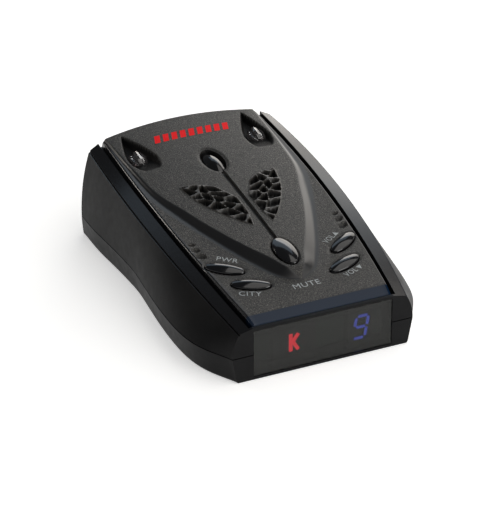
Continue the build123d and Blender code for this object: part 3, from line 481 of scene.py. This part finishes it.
def mark_panel(obj):
    """Stores how smooth and how deep the surface is at each point, for the panel's material."""
    mesh = obj.data
    co = np.zeros(len(mesh.vertices) * 3, np.float32)
    mesh.vertices.foreach_get("co", co)
    co = co.reshape(-1, 3) / MM
    x, depth, z = co[:, 0], co[:, 1] + LENGTH / 2, co[:, 2]
    ax = np.abs(x)
    top, foot = shield_top(depth), shield_foot(depth)
    flank = step((ax - top + 0.5) / 0.5) * step((foot - ax + 0.5) / 0.5) * (depth > 15.5)
    bevel = step((BEVEL_DEPTH - depth) / 0.3)
    pits = step(scoop_depth(x, depth) / 0.3)
    side = step((ax - panel_edge(depth) + EDGE_ROUND + 0.1) / 0.3)
    # painted shade: how far the surface lies below the plain panel, so the hollows can be coloured darker
    recess_shade = np.clip((panel_top(x, depth, False) - z) / 1.6, 0, 1) * (1 - side)
    cells, wing = vent_cells(x, depth)
    rib = wing * (1 - cells)
    # some of these layers only steer painted light: a sky reflection on the bevel, highlights on the ribs
    # and shade in the pits and hollows
    layers = {
        "even": np.maximum(np.clip(flank + bevel + side, 0, 1), rib),
        "recess_shade": recess_shade,
        "bevel": bevel,
        "rib": rib,
        "side": side * (x < 0),
        "dull": np.maximum(pits, side * (x > 0)),
        "pit": pits,
    }
    for name, values in layers.items():
        layer = mesh.attributes.new(name, "FLOAT", "POINT")
        layer.data.foreach_set("value", values.astype(np.float32))


# ------------------------------------------------------------------ materials
def new_material(name):
    material = bpy.data.materials.new(name)
    material.use_nodes = True
    tree = material.node_tree
    shader = tree.nodes["Principled BSDF"]
    return material, tree, shader


def object_coords(tree):
    return tree.nodes.new("ShaderNodeTexCoord").outputs["Object"]


def noise(tree, scale, detail=2.0, roughness=0.5):
    node = tree.nodes.new("ShaderNodeTexNoise")
    node.inputs["Scale"].default_value = scale
    node.inputs["Detail"].default_value = detail
    node.inputs["Roughness"].default_value = roughness
    tree.links.new(object_coords(tree), node.inputs["Vector"])
    return node.outputs["Fac"]


def ramp(tree, source, stops):
    node = tree.nodes.new("ShaderNodeValToRGB")
    while len(node.color_ramp.elements) < len(stops):
        node.color_ramp.elements.new(0.5)
    for element, (place, colour) in zip(node.color_ramp.elements, stops):
        element.position = place
        element.color = (*colour, 1)
    tree.links.new(source, node.inputs["Fac"])
    return node.outputs["Color"]


def grey_ramp(tree, source, low, high, start=0.3, end=0.7):
    return ramp(tree, source, ((start, (low,) * 3), (end, (high,) * 3)))


def bump(tree, shader, height, strength, distance_mm):
    node = tree.nodes.new("ShaderNodeBump")
    node.inputs["Strength"].default_value = strength
    node.inputs["Distance"].default_value = distance_mm * MM
    tree.links.new(height, node.inputs["Height"])
    tree.links.new(node.outputs["Normal"], shader.inputs["Normal"])
    return node


def math_node(tree, operation, a, b):
    node = tree.nodes.new("ShaderNodeMath")
    node.operation = operation
    for socket, value in zip(node.inputs, (a, b)):
        if isinstance(value, (int, float)):
            socket.default_value = value
        else:
            tree.links.new(value, socket)
    return node.outputs[0]


def mix_colour(tree, factor, a, b):
    node = tree.nodes.new("ShaderNodeMix")
    node.data_type = "RGBA"
    tree.links.new(factor, node.inputs["Factor"])
    for socket, value in zip((node.inputs[6], node.inputs[7]), (a, b)):
        if isinstance(value, tuple):
            socket.default_value = (*value, 1)
        else:
            tree.links.new(value, socket)
    return node.outputs[2]


def attribute(tree, name):
    node = tree.nodes.new("ShaderNodeAttribute")
    node.attribute_name = name
    return node.outputs["Fac"]


def plastic(name, dark, light, rough, grain_mm, relief, specular=0.5, coat=0.0):
    """Moulded plastic: faint mottling, fine surface texture and uneven gloss."""
    material, tree, shader = new_material(name)
    mottle = noise(tree, 1 / (6 * MM), 3)
    tree.links.new(ramp(tree, mottle, ((0.3, dark), (0.7, light))), shader.inputs["Base Color"])
    gloss = grey_ramp(tree, noise(tree, 1 / (2.5 * MM), 4), *rough)
    tree.links.new(gloss, shader.inputs["Roughness"])
    bump(tree, shader, noise(tree, 1 / (grain_mm * MM), 2), relief, 0.03)
    shader.inputs["Specular IOR Level"].default_value = specular
    shader.inputs["Coat Weight"].default_value = coat
    shader.inputs["Coat Roughness"].default_value = 0.05
    return material


def shell_material():
    """Black moulded plastic: matte walls, with polished rails on top."""
    material, tree, shader = new_material("shell_plastic")
    split = tree.nodes.new("ShaderNodeSeparateXYZ")
    tree.links.new(tree.nodes.new("ShaderNodeTexCoord").outputs["Normal"], split.inputs[0])
    upward = grey_ramp(tree, split.outputs["Z"], 0.0, 1.0, 0.86, 0.93)
    mottle = noise(tree, 1 / (6 * MM), 3)
    walls = ramp(tree, mottle, ((0.3, (0.0075, 0.0075, 0.008)), (0.7, (0.0100, 0.0100, 0.0105))))
    colour = mix_colour(tree, upward, walls, (0.007, 0.007, 0.008))
    tree.links.new(colour, shader.inputs["Base Color"])
    matte = grey_ramp(tree, noise(tree, 1 / (2.5 * MM), 4), 0.40, 0.48)
    gloss = mix_colour(tree, upward, matte, (0.20, 0.20, 0.20))
    tree.links.new(gloss, shader.inputs["Roughness"])
    shine = math_node(tree, "ADD", math_node(tree, "MULTIPLY", upward, 0.27), 0.08)
    tree.links.new(shine, shader.inputs["Specular IOR Level"])
    bump(tree, shader, noise(tree, 1 / (0.22 * MM), 2), 0.12, 0.03)
    return material


def panel_material():
    """Soft-touch charcoal with a sparkling grain, smooth on the flanks; painted shade in the vents and
    hollows, a painted sky reflection on the front bevel and painted highlights on the ribs.
    """
    material, tree, shader = new_material("panel_grain")
    fine = noise(tree, 1 / (0.34 * MM), 3, 0.65)
    mottle = noise(tree, 1 / (9 * MM), 3)
    grain = ramp(tree, fine, (
        (0.40, (0.006, 0.006, 0.006)), (0.52, (0.017, 0.016, 0.015)), (0.66, (0.120, 0.112, 0.098)),
    ))
    base = mix_colour(tree, grey_ramp(tree, mottle, 0.0, 0.2), grain, (0.026, 0.025, 0.023))
    even = attribute(tree, "even")
    colour = mix_colour(tree, even, base, (0.011, 0.011, 0.012))
    bevel = attribute(tree, "bevel")
    # painted reflection: the front bevel is coloured dark blue as if it mirrored a sky
    colour = mix_colour(tree, bevel, colour, (0.0035, 0.014, 0.036))
    # painted highlight: the vent ribs are coloured lighter as if light caught their edges
    colour = mix_colour(tree, attribute(tree, "rib"), colour, (0.050, 0.046, 0.041))
    # painted shade: the scoops round the jewels are darkened as shade in a hollow
    colour = mix_colour(tree, attribute(tree, "pit"), colour, (0.0035, 0.0035, 0.004))
    # painted shade: the vents, groove, scoops and dimples darken with how deep they lie
    recess_shade = grey_ramp(tree, attribute(tree, "recess_shade"), 0.0, 1.0, 0.15, 0.6)
    colour = mix_colour(tree, recess_shade, colour, (0.006, 0.006, 0.006))
    tree.links.new(colour, shader.inputs["Base Color"])
    gloss = grey_ramp(tree, fine, 0.62, 0.42, 0.3, 0.75)
    gloss = mix_colour(tree, even, gloss, (0.34, 0.34, 0.34))
    side = attribute(tree, "side")
    gloss = mix_colour(tree, side, gloss, (0.24, 0.24, 0.24))
    tree.links.new(gloss, shader.inputs["Roughness"])
    shine = math_node(tree, "ADD", math_node(tree, "MULTIPLY", side, 0.5), 0.5)
    for mask, less in ((attribute(tree, "dull"), 0.4), (bevel, 0.2)):
        shine = math_node(tree, "SUBTRACT", shine, math_node(tree, "MULTIPLY", mask, less))
    tree.links.new(shine, shader.inputs["Specular IOR Level"])
    node = bump(tree, shader, fine, 0.5, 0.16)
    keep = math_node(tree, "SUBTRACT", 1.0, even)
    strength = math_node(tree, "MULTIPLY", keep, 0.75)
    tree.links.new(strength, node.inputs["Strength"])
    return material


def glass(name, colour, alpha, rough, specular=0.5):
    """A tinted, see-through plastic with a little dust in its colour and gloss."""
    material, tree, shader = new_material(name)
    dust = noise(tree, 1 / (3.0 * MM), 1)
    low = tuple(c * 0.93 for c in colour)
    tree.links.new(ramp(tree, dust, ((0.35, low), (0.65, colour))), shader.inputs["Base Color"])
    gloss = grey_ramp(tree, dust, rough, rough * 1.2, 0.3, 0.8)
    tree.links.new(gloss, shader.inputs["Roughness"])
    shader.inputs["Alpha"].default_value = alpha
    shader.inputs["Specular IOR Level"].default_value = specular
    return material


def clear_gem(name):
    """Clear polished acrylic with a faint warm haze."""
    material, tree, shader = new_material(name)
    haze = noise(tree, 1 / (1.5 * MM), 3)
    tint = ramp(tree, haze, ((0.3, (0.55, 0.50, 0.51)), (0.7, (0.75, 0.70, 0.71))))
    tree.links.new(tint, shader.inputs["Base Color"])
    shader.inputs["Transmission Weight"].default_value = 0.93
    shader.inputs["Specular IOR Level"].default_value = 0.8
    shader.inputs["Coat Weight"].default_value = 1.0
    shader.inputs["Coat Roughness"].default_value = 0.03
    shader.inputs["IOR"].default_value = 1.49
    shader.inputs["Roughness"].default_value = 0.02
    return material


def glow(name, colour, strength):
    """A lit part, unevenly bright."""
    material, tree, shader = new_material(name)
    pattern = noise(tree, 1 / (0.6 * MM), 2)
    low = tuple(c * 0.82 for c in colour)
    tree.links.new(ramp(tree, pattern, ((0.3, low), (0.7, colour))), shader.inputs["Emission Color"])
    shader.inputs["Emission Strength"].default_value = strength
    shader.inputs["Base Color"].default_value = (*colour, 1)
    shader.inputs["Roughness"].default_value = 0.6
    return material


def metal(name, colour, rough, grain_mm=0.4):
    """Bare metal with fine scratches in its colour, gloss and relief."""
    material, tree, shader = new_material(name)
    scratch = noise(tree, 1 / (grain_mm * MM), 3)
    low = tuple(c * 0.8 for c in colour)
    tree.links.new(ramp(tree, scratch, ((0.3, low), (0.7, colour))), shader.inputs["Base Color"])
    tree.links.new(grey_ramp(tree, scratch, rough, rough + 0.15), shader.inputs["Roughness"])
    shader.inputs["Metallic"].default_value = 1.0
    bump(tree, shader, scratch, 0.15, 0.02)
    return material


def circuit_material():
    """Green solder mask with lighter copper traces under it."""
    material, tree, shader = new_material("circuit")
    brick = tree.nodes.new("ShaderNodeTexBrick")
    brick.inputs["Scale"].default_value = 1 / (3.0 * MM)
    brick.inputs["Mortar Size"].default_value = 0.04
    brick.inputs["Color1"].default_value = (0.010, 0.070, 0.030, 1)
    brick.inputs["Color2"].default_value = (0.014, 0.085, 0.036, 1)
    brick.inputs["Mortar"].default_value = (0.04, 0.17, 0.07, 1)
    tree.links.new(object_coords(tree), brick.inputs["Vector"])
    tree.links.new(brick.outputs["Color"], shader.inputs["Base Color"])
    gloss = grey_ramp(tree, noise(tree, 1 / (3 * MM), 2), 0.28, 0.45)
    tree.links.new(gloss, shader.inputs["Roughness"])
    return material


SHELL = shell_material()
GLOSS = plastic(
    "button_gloss_black", (0.004, 0.004, 0.005), (0.006, 0.006, 0.007), (0.07, 0.12), 1.5, 0.03, 0.45, 0.25
)
PANEL = panel_material()
WINDOW = glass("smoked_window", (0.021, 0.022, 0.020), 0.62, 0.10, 0.4)
LENS = glass("infrared_lens", (0.020, 0.006, 0.008), 0.93, 0.08, 0.5)
GEM = clear_gem("clear_gem")
PIPE = glass("light_pipe", (0.75, 0.55, 0.55), 0.5, 0.05, 0.5)
BLUE = glow("blue_segments", (0.10, 0.14, 0.85), 1.75)
RED = glow("red_letter", (1.0, 0.028, 0.05), 3.2)
CIRCUIT = circuit_material()
PART = plastic("component_plastic", (0.012, 0.012, 0.012), (0.02, 0.02, 0.02), (0.4, 0.55), 0.3, 0.2)
STEEL = metal("tinned_steel", (0.55, 0.55, 0.55), 0.3)
CAST = metal("cast_metal", (0.42, 0.42, 0.43), 0.45, 0.6)
BRASS = metal("brass", (0.62, 0.45, 0.18), 0.3)
SCREW = metal("dark_screw", (0.14, 0.14, 0.14), 0.35)
FERRITE = plastic("ferrite", (0.02, 0.02, 0.02), (0.035, 0.035, 0.035), (0.5, 0.7), 0.4, 0.4)
FOAM = plastic("foam", (0.012, 0.012, 0.012), (0.03, 0.03, 0.03), (0.8, 0.95), 0.5, 0.8)
CONE = plastic("cone_film", (0.012, 0.012, 0.012), (0.02, 0.02, 0.02), (0.3, 0.4), 0.8, 0.2)
SLEEVE = plastic(
    "capacitor_sleeve", (0.01, 0.015, 0.04), (0.015, 0.02, 0.05), (0.25, 0.35), 0.8, 0.05
)
LAMP = glow("lamp_red", (0.5, 0.02, 0.015), 0.4)
LABEL = metal("label_foil", (0.45, 0.45, 0.46), 0.5)
GREY = plastic("plunger_grey", (0.1, 0.1, 0.1), (0.14, 0.14, 0.14), (0.4, 0.5), 0.4, 0.1)

SLOT_MATERIALS = {
    "shell_black": SHELL, "panel_charcoal": PANEL, "button_gloss": GLOSS, "clear_lens": GEM,
    "smoked_window": WINDOW, "dark_lens": LENS, "glow_blue": BLUE, "glow_red": RED,
    "component_black": PART, "circuit_board": CIRCUIT, "brass_spacer": BRASS, "can_steel": STEEL,
    "capacitor_sleeve": SLEEVE, "cast_horn": CAST, "magnet_dark": FERRITE, "speaker_cone": CONE,
    "gasket_foam": FOAM, "lamp_red": LAMP, "screw_steel": SCREW, "label_silver": LABEL,
    "plunger_grey": GREY,
}


def finish_piece(obj, material, body, slot, *nodes):
    """Gives a piece its material and the body it rides on, and hides the nodes it replaces; the slot is
    not used.
    """
    obj.data.materials.clear()
    obj.data.materials.append(material)
    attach(obj, body)
    if nodes:
        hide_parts(*nodes)
    return obj


for entry in frame["record"]["subparts"]:
    node = NODES[entry["node"]]
    node.data.materials.clear()
    node.data.materials.append(SLOT_MATERIALS[entry["material_slot"]])
NODES["light_pipes"].data.materials[0] = PIPE


# ------------------------------------------------------------------ camera
CAMERA_PLACE = (-0.2995, -0.6660, 0.4181)
CAMERA_TURN = 24.29
CAMERA_HEIGHT = 29.24
CAMERA_ROLL = -0.19


def make_camera():
    data = bpy.data.cameras.new("camera")
    data.sensor_fit = "AUTO"
    data.sensor_width = 36.0
    data.lens = 191.5
    data.clip_start, data.clip_end = 0.05, 20
    data.dof.use_dof = False
    camera = add_object("camera", data)
    a, e, roll = (math.radians(d) for d in (CAMERA_TURN, CAMERA_HEIGHT, CAMERA_ROLL))
    right = Vector((math.cos(a), -math.sin(a), 0))
    back = Vector((-math.sin(a) * math.cos(e), -math.cos(a) * math.cos(e), math.sin(e)))
    up = back.cross(right)
    x_axis = math.cos(roll) * right + math.sin(roll) * up
    y_axis = -math.sin(roll) * right + math.cos(roll) * up
    turn = Matrix((x_axis, y_axis, back)).transposed()
    camera.matrix_world = Matrix.Translation(CAMERA_PLACE) @ turn.to_4x4()
    bpy.context.scene.camera = camera


def softbox(name, direction, distance, size, radiance, colour=(1, 1, 1)):
    """A rectangular light that faces the object, with the brightness its face shows."""
    data = bpy.data.lights.new(name, "AREA")
    data.shape = "RECTANGLE"
    data.size, data.size_y = size
    data.energy = radiance * size[0] * size[1] * math.pi
    data.color = colour
    light = add_object(name, data)
    place = Vector(direction).normalized() * distance
    light.location = place
    light.rotation_mode = "QUATERNION"
    light.rotation_quaternion = place.to_track_quat("Z", "Y")


def make_studio():
    world = bpy.data.worlds.new("studio")
    bpy.context.scene.world = world
    world.use_nodes = True
    background = world.node_tree.nodes["Background"]
    background.inputs["Color"].default_value = (0.9, 0.95, 1.0, 1)
    background.inputs["Strength"].default_value = 0.08
    softbox("overhead", (0.42, -0.30, 0.80), 0.95, (1.5, 1.2), 1.25, (1.0, 0.975, 0.94))
    softbox("right_rear", (0.66, 0.70, 0.28), 0.8, (0.62, 0.52), 2.3, (1.0, 0.955, 0.90))
    softbox("sky", (0.34, 0.72, 0.60), 1.0, (0.6, 0.4), 0.7, (0.68, 0.84, 1.0))
    softbox("left_glint", (-0.58, 0.70, 0.42), 0.8, (0.16, 0.13), 9.0, (1.0, 0.94, 0.86))
    softbox("front_fill", (0.62, -0.75, 0.14), 0.9, (0.5, 0.3), 4.4)
    corners = [(-6, -6, 0), (6, -6, 0), (6, 6, 0), (-6, 6, 0)]
    floor = mesh_object("floor", corners, [(0, 1, 2, 3)], False)
    material, tree, shader = new_material("floor_white")
    speck = noise(tree, 4.0, 2)
    white = ramp(tree, speck, ((0.3, (0.97, 0.97, 0.965)), (0.7, (0.985, 0.985, 0.98))))
    tree.links.new(white, shader.inputs["Base Color"])
    shader.inputs["Roughness"].default_value = 0.9
    shader.inputs["Specular IOR Level"].default_value = 0.1
    shader.inputs["Emission Color"].default_value = (1, 1, 1, 1)
    shader.inputs["Emission Strength"].default_value = 0.52
    floor.data.materials.append(material)
    floor.location.z = -0.0001
    bpy.context.scene.view_settings.view_transform = "Standard"


make_camera()
make_studio()
panel = build_panel()
finish_piece(panel, PANEL, "root", "panel_charcoal", "top_panel")


# ------------------------------------------------------------------ buttons and dome
PLUNGER_TOP = 16.1
STEM_RADIUS = 1.4
CAP_POINTS = 96
CROWN_END = 0.91
CROWN_STEPS = (0.12, 0.25, 0.38, 0.5, 0.62, 0.73, 0.83, CROWN_END)
RIM_DROP = 0.77


def cap_rings(rise, proud):
    """Rings of a crowned top and its rounded rim, as (share of the outline, height)."""
    rings = [(f, proud + rise * (1 - f * f)) for f in CROWN_STEPS]
    crown_low = rings[-1][1]
    for k in range(1, 7):
        t = math.pi / 2 * k / 6
        share = CROWN_END + (1 - CROWN_END) * math.sin(t)
        rings.append((share, crown_low - RIM_DROP * (1 - math.cos(t))))
    return rings


def domed_cap(name, spec, on_shield, rise, skirt, stem_low, proud):
    """A polished oval cap: crowned top, rounded edge, straight skirt and, if asked, a round stem."""
    cx, cd, length, width, _ = spec
    tilt = slope(cd)
    base = bow(cd, PANEL_Z) + (SHIELD_RISE if on_shield else 0)
    verts = [(cx, cd, base + proud + rise)]

    def add_ring(half_length, half_width, height):
        for x, y in oval_ring(spec, half_length, half_width, CAP_POINTS):
            verts.append((x, y, height + tilt * (y - cd)))

    for share, height in cap_rings(rise, proud):
        add_ring(length / 2 * share, width / 2 * share, base + height)
    add_ring(length / 2, width / 2, base - skirt)
    if stem_low is not None:
        add_ring(STEM_RADIUS, STEM_RADIUS, base - skirt)
        for x, y in oval_ring(spec, STEM_RADIUS, STEM_RADIUS, CAP_POINTS):
            verts.append((x, y, stem_low))
    rings = (len(verts) - 1) // CAP_POINTS
    faces = [(0, 1 + i, 1 + (i + 1) % CAP_POINTS) for i in range(CAP_POINTS)]
    for r in range(rings - 1):
        upper, lower = 1 + r * CAP_POINTS, 1 + (r + 1) * CAP_POINTS
        for i in range(CAP_POINTS):
            j = (i + 1) % CAP_POINTS
            faces.append((upper + i, lower + i, lower + j, upper + j))
    last = 1 + (rings - 1) * CAP_POINTS
    faces.append(tuple(last + i for i in range(CAP_POINTS))[::-1])
    verts = np.array(verts)
    verts[:, 1] -= LENGTH / 2
    obj = mesh_object(name, verts * MM, faces)
    turn_faces_outward(obj)
    sharp_by_angle(obj, 60)
    return obj


for body, spec in BUTTONS.items():
    cap = domed_cap(body + "_cap", spec, body == "mute", 0.75, 1.6, PLUNGER_TOP, 0.3)
    finish_piece(cap, GLOSS, body, "button_gloss", body + "_button")
dome_spec = (0.0, REAR_OVAL[1] - 0.4, 12.2, 5.8, 90.0)
dome = domed_cap("rear_dome", dome_spec, True, 1.5, 2.35, None, -1.2)
finish_piece(dome, GLOSS, "root", "button_gloss", "spine_dome")


# ------------------------------------------------------------------ jewels
# half of a jewel's cross-section as (x, z), and its stations as (place along, width, height)
GEM_SECTION = (
    (-3.1, 0.0), (-2.9, 1.1), (-2.35, 1.75), (-1.75, 1.35), (-1.35, 1.5), (-0.85, 2.35), (0.0, 2.6),
)
GEM_STATIONS = (
    (-3.1, 0.45, 0.45), (-1.9, 0.85, 0.9), (0.2, 1.0, 1.0), (2.2, 0.8, 1.0), (3.4, 0.45, 0.5),
)


def build_gem(name, side):
    """A faceted clear jewel with two long ridges on each side."""
    section = list(GEM_SECTION) + [(-x, z) for x, z in GEM_SECTION[-2::-1]]
    count = len(section)
    middle = JEWEL_DEPTH + 1.6
    tilt = slope(middle)
    floor_z = float(panel_top(np.array([side * JEWEL_X]), np.array([middle]))[0])
    verts = []
    for along, wide, high in GEM_STATIONS:
        y = middle + along - LENGTH / 2
        for x, z in section:
            foot = -0.5 if z == 0.0 else 0.0
            height = floor_z + foot + z * high + tilt * along
            verts.append((side * (JEWEL_X + 0.1) + x * wide, y, height))
    faces = []
    for r in range(len(GEM_STATIONS) - 1):
        near, far = r * count, (r + 1) * count
        for i in range(count):
            j = (i + 1) % count
            faces.append((near + i, near + j, far + j, far + i))
    faces.append(tuple(range(count))[::-1])
    last = (len(GEM_STATIONS) - 1) * count
    faces.append(tuple(last + i for i in range(count)))
    obj = mesh_object(name, np.array(verts) * MM, faces, False)
    turn_faces_outward(obj)
    return obj


for side, word in ((-1, "left"), (1, "right")):
    gem = build_gem(word + "_jewel", side)
    finish_piece(gem, GEM, "root", "clear_lens", word + "_jewel_lens")

# the moulded shells have softly broken edges
for name in ("top_shell", "bottom_shell"):
    soft = NODES[name].modifiers.new("soft_edges", "BEVEL")
    soft.width = 0.28 * MM
    soft.segments = 2
    soft.limit_method = "ANGLE"
    soft.angle_limit = math.radians(32)
    soft.use_clamp_overlap = True
    soft.harden_normals = False


# ------------------------------------------------------------------ printed marks
def lay_on_panel(obj, cx, cd, turn, lift=0.03):
    """Turns a flat mesh in millimetres and lays it on the panel's surface."""
    mesh = obj.data
    co = np.zeros(len(mesh.vertices) * 3, np.float32)
    mesh.vertices.foreach_get("co", co)
    co = co.reshape(-1, 3).astype(float)
    u, v = turned(co[:, 0], co[:, 1], turn)
    x, depth = cx + u, cd + v
    z = panel_top(x, depth, False) + lift + co[:, 2]
    placed = np.stack([x * MM, (depth - LENGTH / 2) * MM, z * MM], 1)
    mesh.vertices.foreach_set("co", placed.astype(np.float32).ravel())
    mesh.update()


def legend_mesh(name, text, height, stretch):
    """Plain sans-serif capitals as a thin solid, in millimetres, centred on the origin."""
    curve = bpy.data.curves.new(name, "FONT")
    curve.body = text
    curve.size = height / 0.7
    curve.align_x, curve.align_y = "CENTER", "CENTER"
    curve.space_character = 1.08
    curve.extrude = 0.012
    curve.resolution_u = 4
    source = add_object(name + "_curve", curve)
    bpy.context.view_layer.update()
    dg = bpy.context.evaluated_depsgraph_get()
    mesh = bpy.data.meshes.new_from_object(source.evaluated_get(dg))
    bpy.data.objects.remove(source)
    for vertex in mesh.vertices:
        vertex.co.x *= stretch
    return add_object(name, mesh)


def flat_shape(name, outlines, thick=0.024):
    """Thin plates, one for each outline, in millimetres."""
    bm = bmesh.new()
    for outline in outlines:
        low = [bm.verts.new((x, y, -thick / 2)) for x, y in outline]
        high = [bm.verts.new((x, y, thick / 2)) for x, y in outline]
        bm.faces.new(low[::-1])
        bm.faces.new(high)
        n = len(outline)
        for i in range(n):
            j = (i + 1) % n
            bm.faces.new((low[i], low[j], high[j], high[i]))
    mesh = bpy.data.meshes.new(name)
    bm.to_mesh(mesh)
    bm.free()
    return add_object(name, mesh)


INK = plastic("legend_ink", (0.33, 0.36, 0.37), (0.42, 0.45, 0.46), (0.5, 0.6), 0.5, 0.1, 0.3)
RED_INK = plastic(
    "ornament_ink", (0.88, 0.006, 0.010), (0.98, 0.012, 0.016), (0.6, 0.7), 0.5, 0.1, 0.12
)
# name, words, x, depth, turn in degrees, height, stretch
LEGENDS = (
    ("legend_power", "PWR", -17.1, 31.5, -33.0, 2.0, 1.05),
    ("legend_city", "CITY", -17.5, 13.9, -21.5, 2.0, 1.05),
    ("legend_mute", "MUTE", 0.2, 12.4, 0.0, 2.2, 1.05),
    ("legend_volume_up", "VOL", 16.4, 30.6, 33.0, 2.0, 0.82),
    ("legend_volume_down", "VOL", 15.3, 13.3, 21.5, 2.0, 0.85),
)
for name, text, x, depth, turn, height, stretch in LEGENDS:
    legend = legend_mesh(name, text, height, stretch)
    lay_on_panel(legend, x, depth, turn)
    finish_piece(legend, INK, "root", "label_silver")

UP_ARROW = ((-0.9, -0.8), (0.9, -0.8), (0.0, 0.9))
# name, 1 for up or -1 for down, x, depth, turn in degrees
ARROWS = (("arrow_up", 1, 19.3, 32.6, 33.0), ("arrow_down", -1, 18.9, 14.7, 21.5))
for name, sign, x, depth, turn in ARROWS:
    outline = [(u * sign, v * sign) for u, v in UP_ARROW]
    arrow = flat_shape(name, [outline])
    lay_on_panel(arrow, x, depth, turn)
    finish_piece(arrow, INK, "root", "label_silver")

# a plain hatch of slanted red dashes
DASHES = 9
DASH_PITCH = 2.95
DASH_WIDE = 1.9
DASH_TALL = 4.2
DASH_LEAN = 1.3
DASH_STEPS = 4


def dash_outlines():
    outlines = []
    for i in range(DASHES):
        left = -12.6 + DASH_PITCH * i
        shares = [k / DASH_STEPS for k in range(DASH_STEPS + 1)]
        left_side = [(left + DASH_LEAN * t, DASH_TALL * (t - 0.5)) for t in shares]
        right_side = [(x + DASH_WIDE, y) for x, y in left_side]
        outlines.append(right_side + left_side[::-1])
    return outlines


ornament = flat_shape("panel_ornament", dash_outlines())
lay_on_panel(ornament, -0.4, 98.8, 0.0)
finish_piece(ornament, RED_INK, "root", "label_silver")
